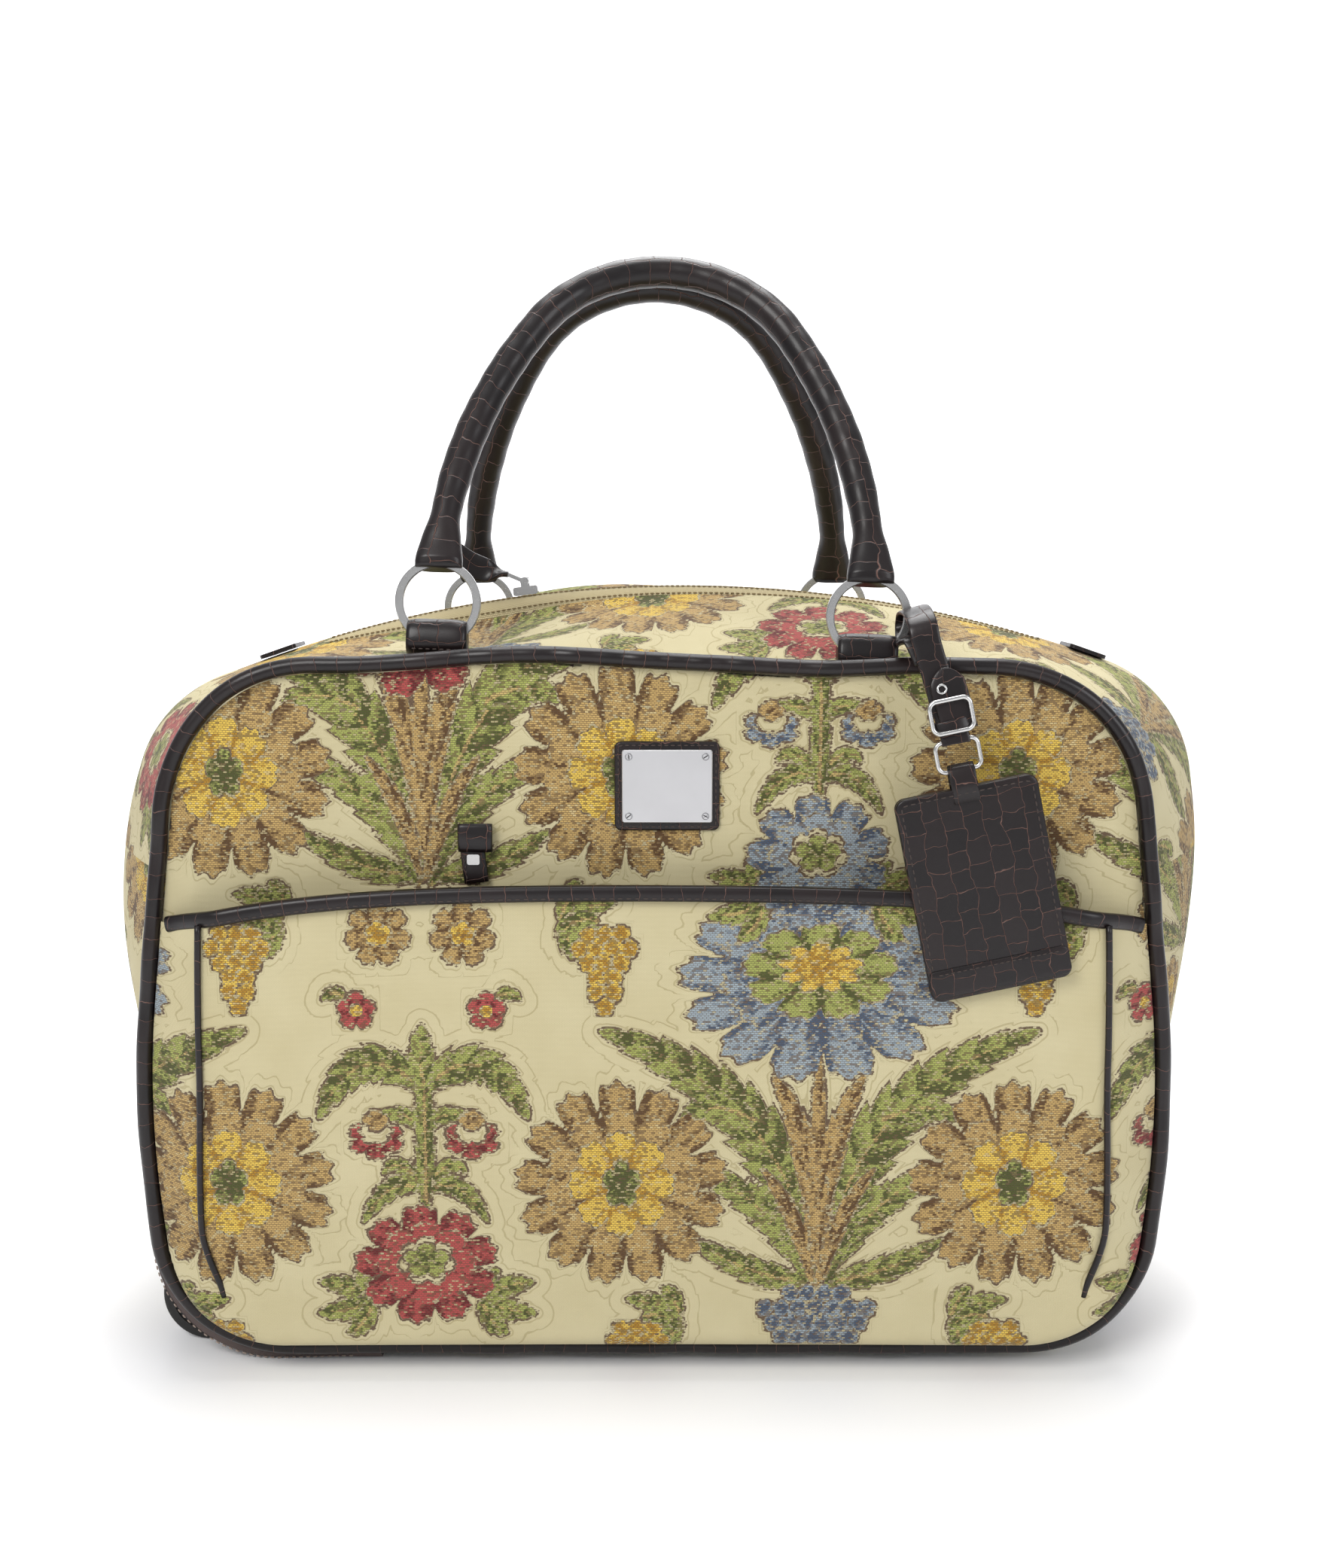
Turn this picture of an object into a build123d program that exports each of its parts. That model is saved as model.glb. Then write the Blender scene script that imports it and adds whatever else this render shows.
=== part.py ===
from build123d import *
import os
from math import asin, atan2, cos, degrees, hypot, pi, radians, sin, sqrt

# Wheeled carpet bag: a zipped fabric travel bag with croc-embossed leather trim, a front
# slip pocket, two rolled handles on metal rings, a luggage tag, two wheels at its left end
# and a telescoping tow handle stowed along its base. Millimetres, +Z up, +X to the right as
# seen from the front, front face towards -Y, origin on the floor under the bag's centre.

# ---- bag body: outline of the two panels and of the fuller middle section ----
wall = 3.0                      # padded fabric wall of the panels and gussets
front_face = -93.0              # outside of the front panel
back_face = 117.0               # outside of the back panel
bag_bottom = 14.0               # underside of the fabric body
panel_top = 349.0               # top of the front panel at its middle
back_top = 339.0                # top of the back panel at its middle
shoulder_drop = 3.0             # how much lower the top line is at the corners
shoulder_half = 224.0           # half width at the top corners
knee_half = 248.0               # half width at the widest place
knee_height = 135.0
foot_half = 236.0               # half width at the bottom corners
top_radius = 74.0
bottom_radius = 58.0
line_radius = 500.0             # gentle turn of the sides
crown_radius = 4000.0           # gentle turn of the top line

crest = 386.0                   # top of the middle section, where the zip runs
crest_x = 15.0                  # the fullest place, a little right of the middle
crest_radius = 650.0            # the zip follows this arc
crest_span = 20.0               # degrees of arc each side of the crest
shoulder_run_right = 44.0       # straight run from the arc to each shoulder
shoulder_run_left = 57.0
belly_half = 295.0              # half width of the middle section before rounding
belly_height = 225.0
belly_radius = 220.0
belly_shoulder_radius = 70.0
belly_foot_half = 246.0
belly_foot_radius = 62.0

# ---- trim ----
piping_radius = 4.0
seam_gap = 0.3                  # sewn neighbours that only touch are drawn this far apart
zip_half = 14.0                 # half width of the zip's two tapes together
tape_thickness = 1.2
coil_half = 2.6
coil_height = 2.4
zip_reach = 205.0               # zip ends this far from the middle, left and right
upper_split = 250.0             # the top gussets end here and the lower gusset begins

# ---- front pocket ----
pocket_top = 240.0
pocket_depth = 18.0
pocket_wall = 2.5
pocket_top_half = 212.0
pocket_knee_half = 224.0
pocket_foot_half = 212.0
pocket_foot = 22.0
pocket_foot_radius = 50.0
pocket_inset = 0.5              # pocket's back edge lies this far inside the panel outline
binding_height = 7.4
binding_depth = 6.0
thin_piping_radius = 1.6

# ---- name plate, pocket strap ----
plate_centre = (6.5, 293.0)
patch_size = (50.0, 42.7)
plate_size = (43.0, 35.0)
patch_thickness = 1.8
plate_thickness = 1.2
screw_radius = 1.3
strap_x = -86.0
strap_width = 15.0
strap_top = 277.0
strap_length = 24.0

# ---- handles and rings ----
ring_half = 103.0               # rings stand this far from the middle
ring_outer = 20.5
ring_inner = 16.5
ring_thickness = 3.0
ring_foot = 355.5               # lowest point of the front rings above the floor
back_ring_foot = 350.5
ring_seat = 14.0                # rings stand this far in from the panels
ring_height = ring_foot + ring_outer  # ring centres above the floor
back_ring_height = back_ring_foot + ring_outer
ring_front_y = front_face + ring_seat
ring_back_y = back_face - ring_seat
front_tilt = 2.0                # degrees the front handle sits lower on the right
handle_radius = 8.0
handle_rise = 172.0             # in the handle's own plane, above the ring tops
handle_crown = 75.0             # radius of the top of the arch
handle_gap = 1.0                # between the two handles where they lean together
loop_half = 12.0                # half width of the leather ring loops
loop_wall = 2.0
swing = 25.0                    # degrees a ring swings each way in its loop
ring_clearance = 0.5
end_half = 9.0                  # half width of the folded handle ends

# ---- luggage tag ----
tag_size = (67.0, 98.0)
tag_centre = (154.0, 248.0)
tag_turn = 12.0                 # degrees
tag_layer = 2.2                 # each of the two leather layers
tag_gap = 0.8                   # card slot between the layers
tag_y = -119.5                  # front face of the tag
tag_strap_width = 12.0
tag_strap_thickness = 2.6
tag_ring_angle = -10.0          # where the strap grips the right ring
tag_strap_hole = 6.0
tag_neck = 8.0                  # from the tag's top edge to its neck's eye
tag_loop_size = (20.0, 14.0)    # wire loop between strap and tag
tag_wire = 1.1                  # radius of the tag's wire loop and of the buckle's frame

# ---- wheels and corner guards ----
wheel_radius = 24.0
wheel_width = 18.0
tyre_depth = 5.0
wheel_x = -229.0
wheel_setback = 36.0            # wheel centre behind the front face, and before the back face
axle_radius = 3.0
axle_fit = 0.05
wheel_clearance = 2.0
housing_wall = 2.5
guard_rise = 62.0               # top of the corner guard
guard_reach = -137.0            # right end of the guard
guard_thickness = 9.5
guard_width = 62.0
guard_corner = 60.0             # outer radius of the corner guard
guard_floor_gap = 1.0
guard_lip = 6.0

# ---- tow handle in the base ----
tube_spacing = 100.0
outer_tube = (18.0, 12.0)       # width along Y, height along Z
tube_wall = 1.0
tube_fit = 0.3
tube_start = -186.0
tube_end = 210.0
stage_step = 4.0                # each inner stage stands out this much further
bezel_face = 238.0
bezel_depth = 32.0
bezel_size = (140.0, 30.0)
grip_depth = 12.0
grip_size = (124.0, 20.0)
grip_recess = 1.5               # the stowed grip sits this far inside the bezel's face
button_size = (26.0, 10.0)
button_depth = 5.0
button_travel = 2.0
board_thickness = 3.0
board_half = 176.0
foot_size = (14.0, 34.0)
foot_x = 157.0
foot_setback = 30.0

# ---- zip slider ----
slider_x = -68.0
slider_size = (13.0, 9.0, 4.5)
pull_length = 34.0
pull_width = 12.0
pull_thickness = 3.0
pull_lift = 30.0                # degrees that the leather pull stands up from the zip
pull_pin = 1.0

edge_front = front_face + wall  # where gusset and front panel meet
edge_back = back_face - wall
middle = (edge_front + edge_back) / 2

os.makedirs("parts", exist_ok=True)


def save(builder, name):
    builder.part.label = name
    export_step(builder.part, f"parts/{name}.step")


def upright(y, x=0.0, z=0.0):
    """A plane facing the front, so that a sketch on it reads X and Z."""
    return Plane(origin=(x, y, z), x_dir=(1, 0, 0), z_dir=(0, -1, 0))


def around(top, half_points):
    """Closed outline: its top point, the right side downwards, and its mirror image."""
    left = [(-x, z) for x, z in reversed(half_points)]
    return [(0, top)] + list(half_points) + left


def panel_line(top):
    points = around(top, [(shoulder_half, top - shoulder_drop), (knee_half, knee_height),
                          (foot_half, bag_bottom)])
    return points, [crown_radius, top_radius, line_radius, bottom_radius,
                    bottom_radius, line_radius, top_radius]


def crest_line():
    """The middle section: an arc for the zip, its two tangents, then shoulders, belly and foot."""
    span = radians(crest_span)
    centre_z = crest - crest_radius

    def shoulder(side, run):
        return (crest_x + side * (crest_radius * sin(span) + run * cos(span)),
                centre_z + crest_radius * cos(span) - run * sin(span))

    points = [(crest_x, centre_z + crest_radius / cos(span)), shoulder(1, shoulder_run_right),
              (belly_half, belly_height), (belly_foot_half, bag_bottom),
              (-belly_foot_half, bag_bottom), (-belly_half, belly_height),
              shoulder(-1, shoulder_run_left)]
    radii = [crest_radius, belly_shoulder_radius, belly_radius, belly_foot_radius,
             belly_foot_radius, belly_radius, belly_shoulder_radius]
    sides = len(points)

    def bend(k):
        """Tangent of half the turn at a corner: how much side each millimetre of radius takes."""
        here, before, after = (Vector(*points[(k + step) % sides]) for step in (0, -1, 1))
        turn = (here - before).normalized().dot((after - here).normalized())
        return sqrt((1 - turn) / (1 + turn))

    for k in (2, sides - 2):
        # The long side turn is held to the two sides it rounds.
        room = min((Vector(*points[(k + step) % sides]) - Vector(*points[k])).length
                   - radii[(k + step) % sides] * bend((k + step) % sides) for step in (-1, 1))
        radii[k] = min(radii[k], 0.98 * room / bend(k))
    return points, radii


def inset_corners(points, inset):
    """The corners of a clockwise outline with every side moved inwards, or outwards if negative."""
    moved = []
    for before, here, after in zip(points[-1:] + points[:-1], points, points[1:] + points[:1]):
        first = (Vector(*here) - Vector(*before)).normalized()
        second = (Vector(*after) - Vector(*here)).normalized()
        inward = (Vector(first.Y, -first.X) + Vector(second.Y, -second.X)).normalized()
        step = inward * (inset / inward.dot(Vector(first.Y, -first.X)))
        moved.append((here[0] + step.X, here[1] + step.Y))
    return moved


def section(line, y, inset=0.0):
    """A filled outline of the bag at depth y."""
    points, radii = line
    with BuildSketch(upright(y)) as face:
        with BuildLine():
            FilletPolyline(*inset_corners(points, inset), radius=[r - inset for r in radii], close=True)
        make_face()
    return face.sketch


def bag_block(inset, start, end):
    """The bag's lofted volume, inset all round, between two depths."""
    lines = ((panel_line(panel_top), start), (crest_line(), middle), (panel_line(back_top), end))
    faces = [section(line, y, inset).face() for line, y in lines]
    with BuildPart() as block:
        loft(sections=faces)
    return block.part


outer_block = bag_block(0.0, edge_front, edge_back)
inner_block = bag_block(wall, edge_front, edge_back)

# ---- panels: padded fabric faces, sewn to the gussets along their edges ----
front_outline = section(panel_line(panel_top), front_face)
with BuildPart() as front_panel:
    extrude(front_outline, amount=-wall)
save(front_panel, "front_panel")

back_outline = section(panel_line(back_top), back_face)
with BuildPart() as back_panel:
    extrude(back_outline, amount=wall)
save(back_panel, "back_panel")

# ---- wheels: where they stand, and the space that their housings take from the bag ----
wheel_places = {"front": front_face + wheel_setback, "back": back_face - wheel_setback}
well_radius = wheel_radius + wheel_clearance
well_half = wheel_width / 2 + wheel_clearance
housing_right = wheel_x + well_radius + housing_wall
housing_top = wheel_radius + well_radius + housing_wall
guard_bottom = guard_floor_gap
guard_left = -foot_half - guard_thickness - piping_radius - seam_gap


def housing_block(y, extra=0.0):
    """The box that a wheel well takes out of the bag's corner."""
    with BuildPart() as block:
        with BuildSketch(upright(y + well_half + housing_wall + extra)):
            with BuildLine():
                Polyline((guard_left, guard_bottom - extra), (housing_right + extra, guard_bottom - extra),
                         (housing_right + extra, housing_top + extra), (guard_left, housing_top + extra),
                         close=True)
            make_face()
        extrude(amount=2 * (well_half + housing_wall + extra))
    return block.part


# ---- tow handle: a moulded bezel in the right gusset, tubes along the base ----
tube_axis_z = bag_bottom + wall + board_thickness + 2 * seam_gap + outer_tube[1] / 2
with BuildPart() as bezel_space:
    with Locations((bezel_face - bezel_depth / 2, middle, tube_axis_z)):
        Box(bezel_depth, bezel_size[0], bezel_size[1])

# ---- gussets: two top strips either side of the zip, one long strip round ends and bottom ----
with BuildPart() as shell:
    add(outer_block)
    add(inner_block, mode=Mode.SUBTRACT)

reach = 2 * belly_half
with BuildPart() as gusset_top_front:
    add(shell.part)
    with Locations((0, (edge_front + middle - zip_half) / 2, (upper_split + 2 * crest) / 2)):
        Box(reach, middle - zip_half - edge_front, 2 * crest - upper_split, mode=Mode.INTERSECT)
save(gusset_top_front, "gusset_top_front")

with BuildPart() as gusset_top_back:
    add(shell.part)
    with Locations((0, (edge_back + middle + zip_half) / 2, (upper_split + 2 * crest) / 2)):
        Box(reach, edge_back - middle - zip_half, 2 * crest - upper_split, mode=Mode.INTERSECT)
save(gusset_top_back, "gusset_top_back")

with BuildPart() as gusset_ends:
    # The short stretch of gusset at each end of the zip, left and right.
    add(shell.part)
    with Locations((0, middle, (upper_split + 2 * crest) / 2)):
        Box(reach, 2 * zip_half, 2 * crest - upper_split, mode=Mode.INTERSECT)
    with Locations((crest_x, middle, (upper_split + 2 * crest) / 2)):
        Box(2 * zip_reach, 2 * zip_half, 2 * crest, mode=Mode.SUBTRACT)
save(gusset_ends, "zip_end_gussets")

wells = [housing_block(place) for place in wheel_places.values()]
with BuildPart() as gusset_lower:
    add(shell.part)
    with Locations((0, middle, upper_split / 2)):
        Box(reach, 2 * (edge_back - edge_front), upper_split, mode=Mode.INTERSECT)
    for well in wells:
        add(well, mode=Mode.SUBTRACT)
    add(bezel_space.part, mode=Mode.SUBTRACT)
save(gusset_lower, "gusset_lower")

# ---- lining: a thin fabric bag that hangs just inside the padded walls ----
lining_thickness = 1.0
lining_inset = wall + seam_gap
lining_outer = bag_block(lining_inset, edge_front + seam_gap, edge_back - seam_gap)
lining_inner = bag_block(lining_inset + lining_thickness, edge_front + seam_gap + lining_thickness,
                         edge_back - seam_gap - lining_thickness)
wells = [housing_block(place, seam_gap) for place in wheel_places.values()]
with BuildPart() as lining:
    add(lining_outer)
    add(lining_inner, mode=Mode.SUBTRACT)
    floor_line = tube_axis_z + outer_tube[1] / 2 + seam_gap
    with Locations((0, middle, floor_line / 2)):
        Box(reach, reach, floor_line, mode=Mode.SUBTRACT)
    for well in wells:
        add(well, mode=Mode.SUBTRACT)
    with Locations((bezel_face, middle, tube_axis_z)):
        Box(2 * bezel_depth + 2 * seam_gap, bezel_size[0] + 2 * seam_gap, bezel_size[1] + 2 * seam_gap,
            mode=Mode.SUBTRACT)
save(lining, "lining")

# ---- piping: leather-covered cord round both panels ----
piping_offset = piping_radius + seam_gap
for name, top, y in (("front_piping", panel_top, front_face + wall / 2),
                     ("back_piping", back_top, back_face - wall / 2)):
    rim = section(panel_line(top), y, -piping_offset).faces()[0].outer_wire()
    with BuildPart() as piping:
        with BuildSketch(Plane(origin=rim @ 0, z_dir=rim % 0)):
            Circle(piping_radius)
        sweep(path=rim)
    save(piping, name)

# ---- zip: two woven tapes and a closed coil, all on the crest's arc ----
zip_centre_z = crest - crest_radius
arc_half = asin(zip_reach / crest_radius)


def zip_strip(radius, thickness, y_low, y_high):
    """A strip that follows the zip's arc, between two depths."""
    start, stop = radius - thickness / 2, radius + thickness / 2
    with BuildPart() as strip:
        with BuildSketch(upright(y_high, crest_x, zip_centre_z)):
            with BuildLine():
                corner = [(r * sin(a), r * cos(a)) for r, a in
                          ((start, -arc_half), (start, arc_half), (stop, arc_half), (stop, -arc_half))]
                ThreePointArc(corner[0], (0, start), corner[1])
                Line(corner[1], corner[2])
                ThreePointArc(corner[2], (0, stop), corner[3])
                Line(corner[3], corner[0])
            make_face()
        extrude(amount=y_high - y_low)
    return strip


tape_radius = crest_radius - wall / 2
save(zip_strip(tape_radius, tape_thickness, middle - zip_half, middle - coil_half - seam_gap / 2),
     "zip_tape_front")
save(zip_strip(tape_radius, tape_thickness, middle + coil_half + seam_gap / 2, middle + zip_half),
     "zip_tape_back")
save(zip_strip(tape_radius, coil_height, middle - coil_half, middle + coil_half), "zip_coil")

# Leather tabs that cover the two ends of the zip.
end_tab_angle = asin((zip_reach + 8.0) / crest_radius)
for name, side in (("zip_tab_left", -1), ("zip_tab_right", 1)):
    radius = crest_radius + seam_gap
    place = (crest_x + side * radius * sin(end_tab_angle), middle, zip_centre_z + radius * cos(end_tab_angle))
    with BuildPart() as tab:
        with BuildSketch(Plane(origin=place, x_dir=(cos(end_tab_angle), 0, -side * sin(end_tab_angle)),
                               z_dir=(side * sin(end_tab_angle), 0, cos(end_tab_angle)))):
            RectangleRounded(20.0, 2 * zip_half, 3.0)
        extrude(amount=2.0)
        add(outer_block, mode=Mode.SUBTRACT)
    save(tab, name)

# ---- front pocket: panel and side gusset, lofted from the panel outline to a smaller front ----
slant = (pocket_top - knee_height) / (panel_top - shoulder_drop - knee_height)
pocket_back_half = knee_half - slant * (knee_half - shoulder_half)


def pocket_block(inset, top, front, back):
    back_points = [(pocket_back_half - pocket_inset, pocket_top), (knee_half - pocket_inset, knee_height),
                   (foot_half - pocket_inset, bag_bottom + pocket_inset)]
    front_points = [(pocket_top_half, pocket_top), (pocket_knee_half, knee_height),
                    (pocket_foot_half, pocket_foot)]
    faces = []
    for points, radius, y in ((back_points, bottom_radius, back), (front_points, pocket_foot_radius, front)):
        half = [(x - inset, z) for x, z in points]
        half[0] = (half[0][0], top)
        half[2] = (half[2][0], half[2][1] + inset)
        outline = half + [(-x, z) for x, z in reversed(half)]
        with BuildSketch(upright(y)) as face:
            with BuildLine():
                FilletPolyline(*outline, radius=[1.0, line_radius, radius, radius, line_radius, 1.0],
                               close=True)
            make_face()
        faces.append(face.sketch.face())
    with BuildPart() as block:
        loft(sections=faces)
    return block.part


pocket_front = front_face - pocket_depth
pocket_outside = pocket_block(0.0, pocket_top, pocket_front, front_face)
pocket_inside = pocket_block(pocket_wall, pocket_top + 10.0, pocket_front + pocket_wall, front_face)
with BuildPart() as pocket:
    add(pocket_outside)
    add(pocket_inside, mode=Mode.SUBTRACT)

with BuildPart() as pocket_panel:
    add(pocket.part)
    with Locations((0, pocket_front - reach / 2 + pocket_wall, 0)):
        Box(2 * reach, reach, 2 * reach, mode=Mode.INTERSECT)
save(pocket_panel, "pocket_panel")

with BuildPart() as pocket_gusset:
    add(pocket.part)
    with Locations((0, pocket_front - reach / 2 + pocket_wall, 0)):
        Box(2 * reach, reach, 2 * reach, mode=Mode.SUBTRACT)
save(pocket_gusset, "pocket_gusset")

# The rolled leather binding folded over the pocket's top edge, from piping to piping.
with BuildPart() as pocket_binding:
    with BuildSketch(Plane.XY.offset(pocket_top - binding_height + 2.0)):
        corner_y, far_y = pocket_front + pocket_wall / 2, front_face - 3.3
        corner_x, far_x = pocket_top_half - 4.0, pocket_back_half - 6.0
        half = binding_depth / 2
        front_edge = [(-far_x, far_y - half), (-corner_x, corner_y - half),
                      (corner_x, corner_y - half), (far_x, far_y - half)]
        with BuildLine():
            Polyline(*front_edge, *[(x, y + binding_depth) for x, y in reversed(front_edge)], close=True)
        make_face()
    extrude(amount=binding_height)
    add(pocket.part, mode=Mode.SUBTRACT)
    with Locations((0, front_face + 10.0, pocket_top)):
        Box(2 * reach, 20.0, 100.0, mode=Mode.SUBTRACT)
save(pocket_binding, "pocket_binding")

# Thin piping down the pocket panel's two side edges.
with BuildPart() as pocket_piping:
    for side in (-1, 1):
        low = (side * (pocket_foot_half + 2.5), pocket_front - thin_piping_radius, pocket_foot + pocket_foot_radius)
        high = (side * (pocket_top_half + 2.5), pocket_front - thin_piping_radius, pocket_top - binding_height)
        run = Vector(*high) - Vector(*low)
        with BuildSketch(Plane(origin=low, z_dir=run)):
            Circle(thin_piping_radius)
        extrude(amount=run.length)
save(pocket_piping, "pocket_piping")

# ---- pocket strap: a short doubled leather strap with a metal snap, over the pocket's mouth ----
with BuildPart() as pocket_strap:
    with BuildSketch(upright(front_face, strap_x, strap_top - strap_length / 2)):
        RectangleRounded(strap_width, strap_length, 3.0)
    extrude(amount=3.4)
save(pocket_strap, "pocket_strap")

with BuildPart() as strap_snap:
    with BuildSketch(upright(front_face - 3.4, strap_x, strap_top - strap_length + 5.0)):
        RectangleRounded(6.0, 5.0, 1.0)
    extrude(amount=1.2)
save(strap_snap, "strap_snap")

# ---- name plate: a bare metal plate with four screws on a stitched leather patch ----
plate_plane = upright(front_face, plate_centre[0], plate_centre[1])
with BuildPart() as plate_patch:
    with BuildSketch(plate_plane):
        RectangleRounded(*patch_size, 2.5)
    extrude(amount=patch_thickness)
    fillet(plate_patch.edges().group_by(Axis.Y)[0], 0.5)
save(plate_patch, "plate_patch")

screw_grid = (plate_size[0] - 6.5, plate_size[1] - 6.5)
with BuildPart() as name_plate:
    with BuildSketch(plate_plane.offset(patch_thickness)):
        RectangleRounded(*plate_size, 1.2)
        with GridLocations(*screw_grid, 2, 2):
            Circle(screw_radius + seam_gap / 3, mode=Mode.SUBTRACT)
    extrude(amount=plate_thickness)
    chamfer(name_plate.faces().sort_by(Axis.Y)[0].outer_wire().edges(), 0.35)
save(name_plate, "name_plate")

with BuildPart() as plate_screws:
    with BuildSketch(plate_plane.offset(patch_thickness)):
        with GridLocations(*screw_grid, 2, 2):
            Circle(screw_radius)
    extrude(amount=plate_thickness + 0.3)
    with BuildSketch(plate_plane.offset(patch_thickness + plate_thickness + 0.3)):
        with GridLocations(*screw_grid, 2, 2):
            Rectangle(2 * screw_radius, 0.45, rotation=35)
    extrude(amount=-0.5, mode=Mode.SUBTRACT)
save(plate_screws, "plate_screws")

# ---- handles: each hangs on two flat rings, and each ring stands in a leather loop ----
ring_middle = (ring_outer + ring_inner) / 2
bar_radial = ring_outer - ring_inner
bar_diagonal = hypot(bar_radial, ring_thickness) / 2


def tilted(tilt, x, height):
    """A point x along the line through both ring centres, and height above that line."""
    turn = radians(tilt)
    return (x * cos(turn) + height * sin(turn), -x * sin(turn) + height * cos(turn))


def eye_profile(half, sweep_low, sweep_high):
    """The hollow that a ring's bar needs inside a leather fold, seen along the fold."""
    rise = ring_middle - sqrt(ring_middle ** 2 - half ** 2) + bar_radial / 2 + ring_clearance
    side = bar_diagonal + ring_clearance
    low, high = radians(sweep_low), radians(sweep_high)
    return rise, side, low, high


def fold(plane, half, sweep_low, sweep_high, tail):
    """A leather fold round a ring's bar: hollow for the swing, with a tail below it.

    In the plane the bar lies at the origin, the first axis points to the bag's back and the
    second towards the ring's centre."""
    rise, side, low, high = eye_profile(half, sweep_low, sweep_high)
    reach_low = (rise * sin(low) - side * cos(low), rise * cos(low) + side * abs(sin(low)))
    reach_high = (rise * sin(high) + side * cos(high), rise * cos(high) + side * abs(sin(high)))
    hollow = [(-side, -side), (side, -side), (max(side, reach_high[0]), reach_high[1]),
              (min(-side, reach_low[0]), reach_low[1])]
    with BuildPart() as body:
        with BuildSketch(plane):
            with BuildLine():
                Polyline(*hollow, close=True)
            make_face()
            offset(amount=loop_wall, kind=Kind.ARC)
            with BuildLine():
                Polyline((-side - 1.0, -side), (side + 1.0, -side), (side + 1.0, -tail), (-side - 1.0, -tail),
                         close=True)
            make_face()
        extrude(amount=half, both=True)
        with BuildSketch(plane):
            with BuildLine():
                Polyline(*hollow, close=True)
            make_face()
        extrude(amount=half + 1.0, both=True, mode=Mode.SUBTRACT)
    return body.part


def side_plane(x, y, z, tilt):
    """Plane across a ring's bar: first axis +Y, second axis up."""
    turn = radians(tilt)
    return Plane(origin=(x, y, z), x_dir=(0, 1, 0), z_dir=(cos(turn), 0, -sin(turn)))


sides = {"left": -1, "right": 1}
handles = {"front": (ring_front_y, ring_height, front_tilt, 1), "back": (ring_back_y, back_ring_height, 0.0, -1)}
# The folded handle end must clear the part of the ring's arc that lies inside it.
eye_radius = ring_middle - sqrt(ring_middle ** 2 - end_half ** 2) + bar_radial / 2 + ring_clearance
for end, (y, height, tilt, leaning) in handles.items():
    for side_name, side in sides.items():
        x, z = tilted(tilt, side * ring_half, 0)
        with BuildPart() as ring:
            with BuildSketch(Plane(origin=(x, y - ring_thickness / 2, height + z), x_dir=(1, 0, 0),
                                   z_dir=(0, 1, 0))):
                Circle(ring_outer)
                Circle(ring_inner, mode=Mode.SUBTRACT)
            extrude(amount=ring_thickness)
            chamfer(ring.edges(), 0.5)
        save(ring, f"ring_{end}_{side_name}")

        x, z = tilted(tilt, side * ring_half, -ring_middle)
        folded = fold(side_plane(x, y, height + z, tilt), loop_half, -swing, swing, 16.0)
        with BuildPart() as ring_loop:
            add(folded)
            add(outer_block, mode=Mode.SUBTRACT)
        save(ring_loop, f"ring_loop_{end}_{side_name}")

    # The handle: a rolled leather arch in a plane that leans towards the other handle.
    base_x, base_z = tilted(tilt, 0, ring_middle)
    foot = Vector(base_x, y, height + base_z)
    lean_run = abs(y - middle) - handle_radius - handle_gap / 2
    lean = asin(lean_run / handle_rise)
    turn = radians(tilt)
    along = Vector(cos(turn), 0, -sin(turn))
    up = Vector(sin(turn) * cos(lean), leaning * sin(lean), cos(turn) * cos(lean))
    handle_plane = Plane(origin=foot, x_dir=along, z_dir=along.cross(up))
    flank = ((ring_half ** 2 + (handle_rise - handle_crown) ** 2 - handle_crown ** 2)
             / (2 * (ring_half - handle_crown)))
    centre_gap = hypot(flank - ring_half, handle_rise - handle_crown)
    joint_x = ring_half - flank + flank * (flank - ring_half) / centre_gap
    joint_v = flank * (handle_rise - handle_crown) / centre_gap
    start_v = eye_radius
    start_x = ring_half - flank + sqrt(flank ** 2 - start_v ** 2)
    eyes = [handle_plane.from_local_coords(Vector(side * ring_half, 0, 0)) for side in (-1, 1)]
    eye_planes = [Plane(origin=eye, x_dir=(0, 1, 0), z_dir=along) for eye in eyes]
    with BuildPart() as handle:
        with BuildLine(handle_plane) as arch:
            mid_v = (start_v + joint_v) / 2
            mid_x = ring_half - flank + sqrt(flank ** 2 - mid_v ** 2)
            ThreePointArc((-start_x, start_v), (-mid_x, mid_v), (-joint_x, joint_v))
            ThreePointArc((-joint_x, joint_v), (0, handle_rise), (joint_x, joint_v))
            ThreePointArc((joint_x, joint_v), (mid_x, mid_v), (start_x, start_v))
        course = arch.wire()
        with BuildSketch(Plane(origin=course @ 0, z_dir=course % 0)):
            Circle(handle_radius)
        sweep(path=course)
        for plane in eye_planes:
            with BuildSketch(plane):
                Circle(eye_radius + loop_wall)
            extrude(amount=end_half, both=True)
            with BuildSketch(plane):
                Circle(eye_radius)
            extrude(amount=2 * end_half, both=True, mode=Mode.SUBTRACT)
    save(handle, f"handle_{end}")
    print(end, "handle: lean", round(degrees(lean), 2), "foot", foot)

# ---- luggage tag: two sewn leather layers round a card, hung by a buckled strap ----
tag_angle = radians(tag_turn)
tag_up = Vector(-sin(tag_angle), 0, cos(tag_angle))
tag_right = Vector(cos(tag_angle), 0, sin(tag_angle))
tag_middle_y = tag_y + tag_layer + tag_gap / 2
tag_origin = Vector(tag_centre[0], tag_middle_y, tag_centre[1])
neck_eye = tag_origin + tag_up * (tag_size[1] / 2 + tag_neck)
wire_centre = neck_eye + tag_up * (tag_loop_size[1] / 2)
strap_foot = neck_eye + tag_up * tag_loop_size[1]


def tag_plane(centre, y):
    """A plane in the tag's own tilt, facing the front, at depth y."""
    return Plane(origin=(centre.X, y, centre.Z), x_dir=tag_right, z_dir=(0, -1, 0))


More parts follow.
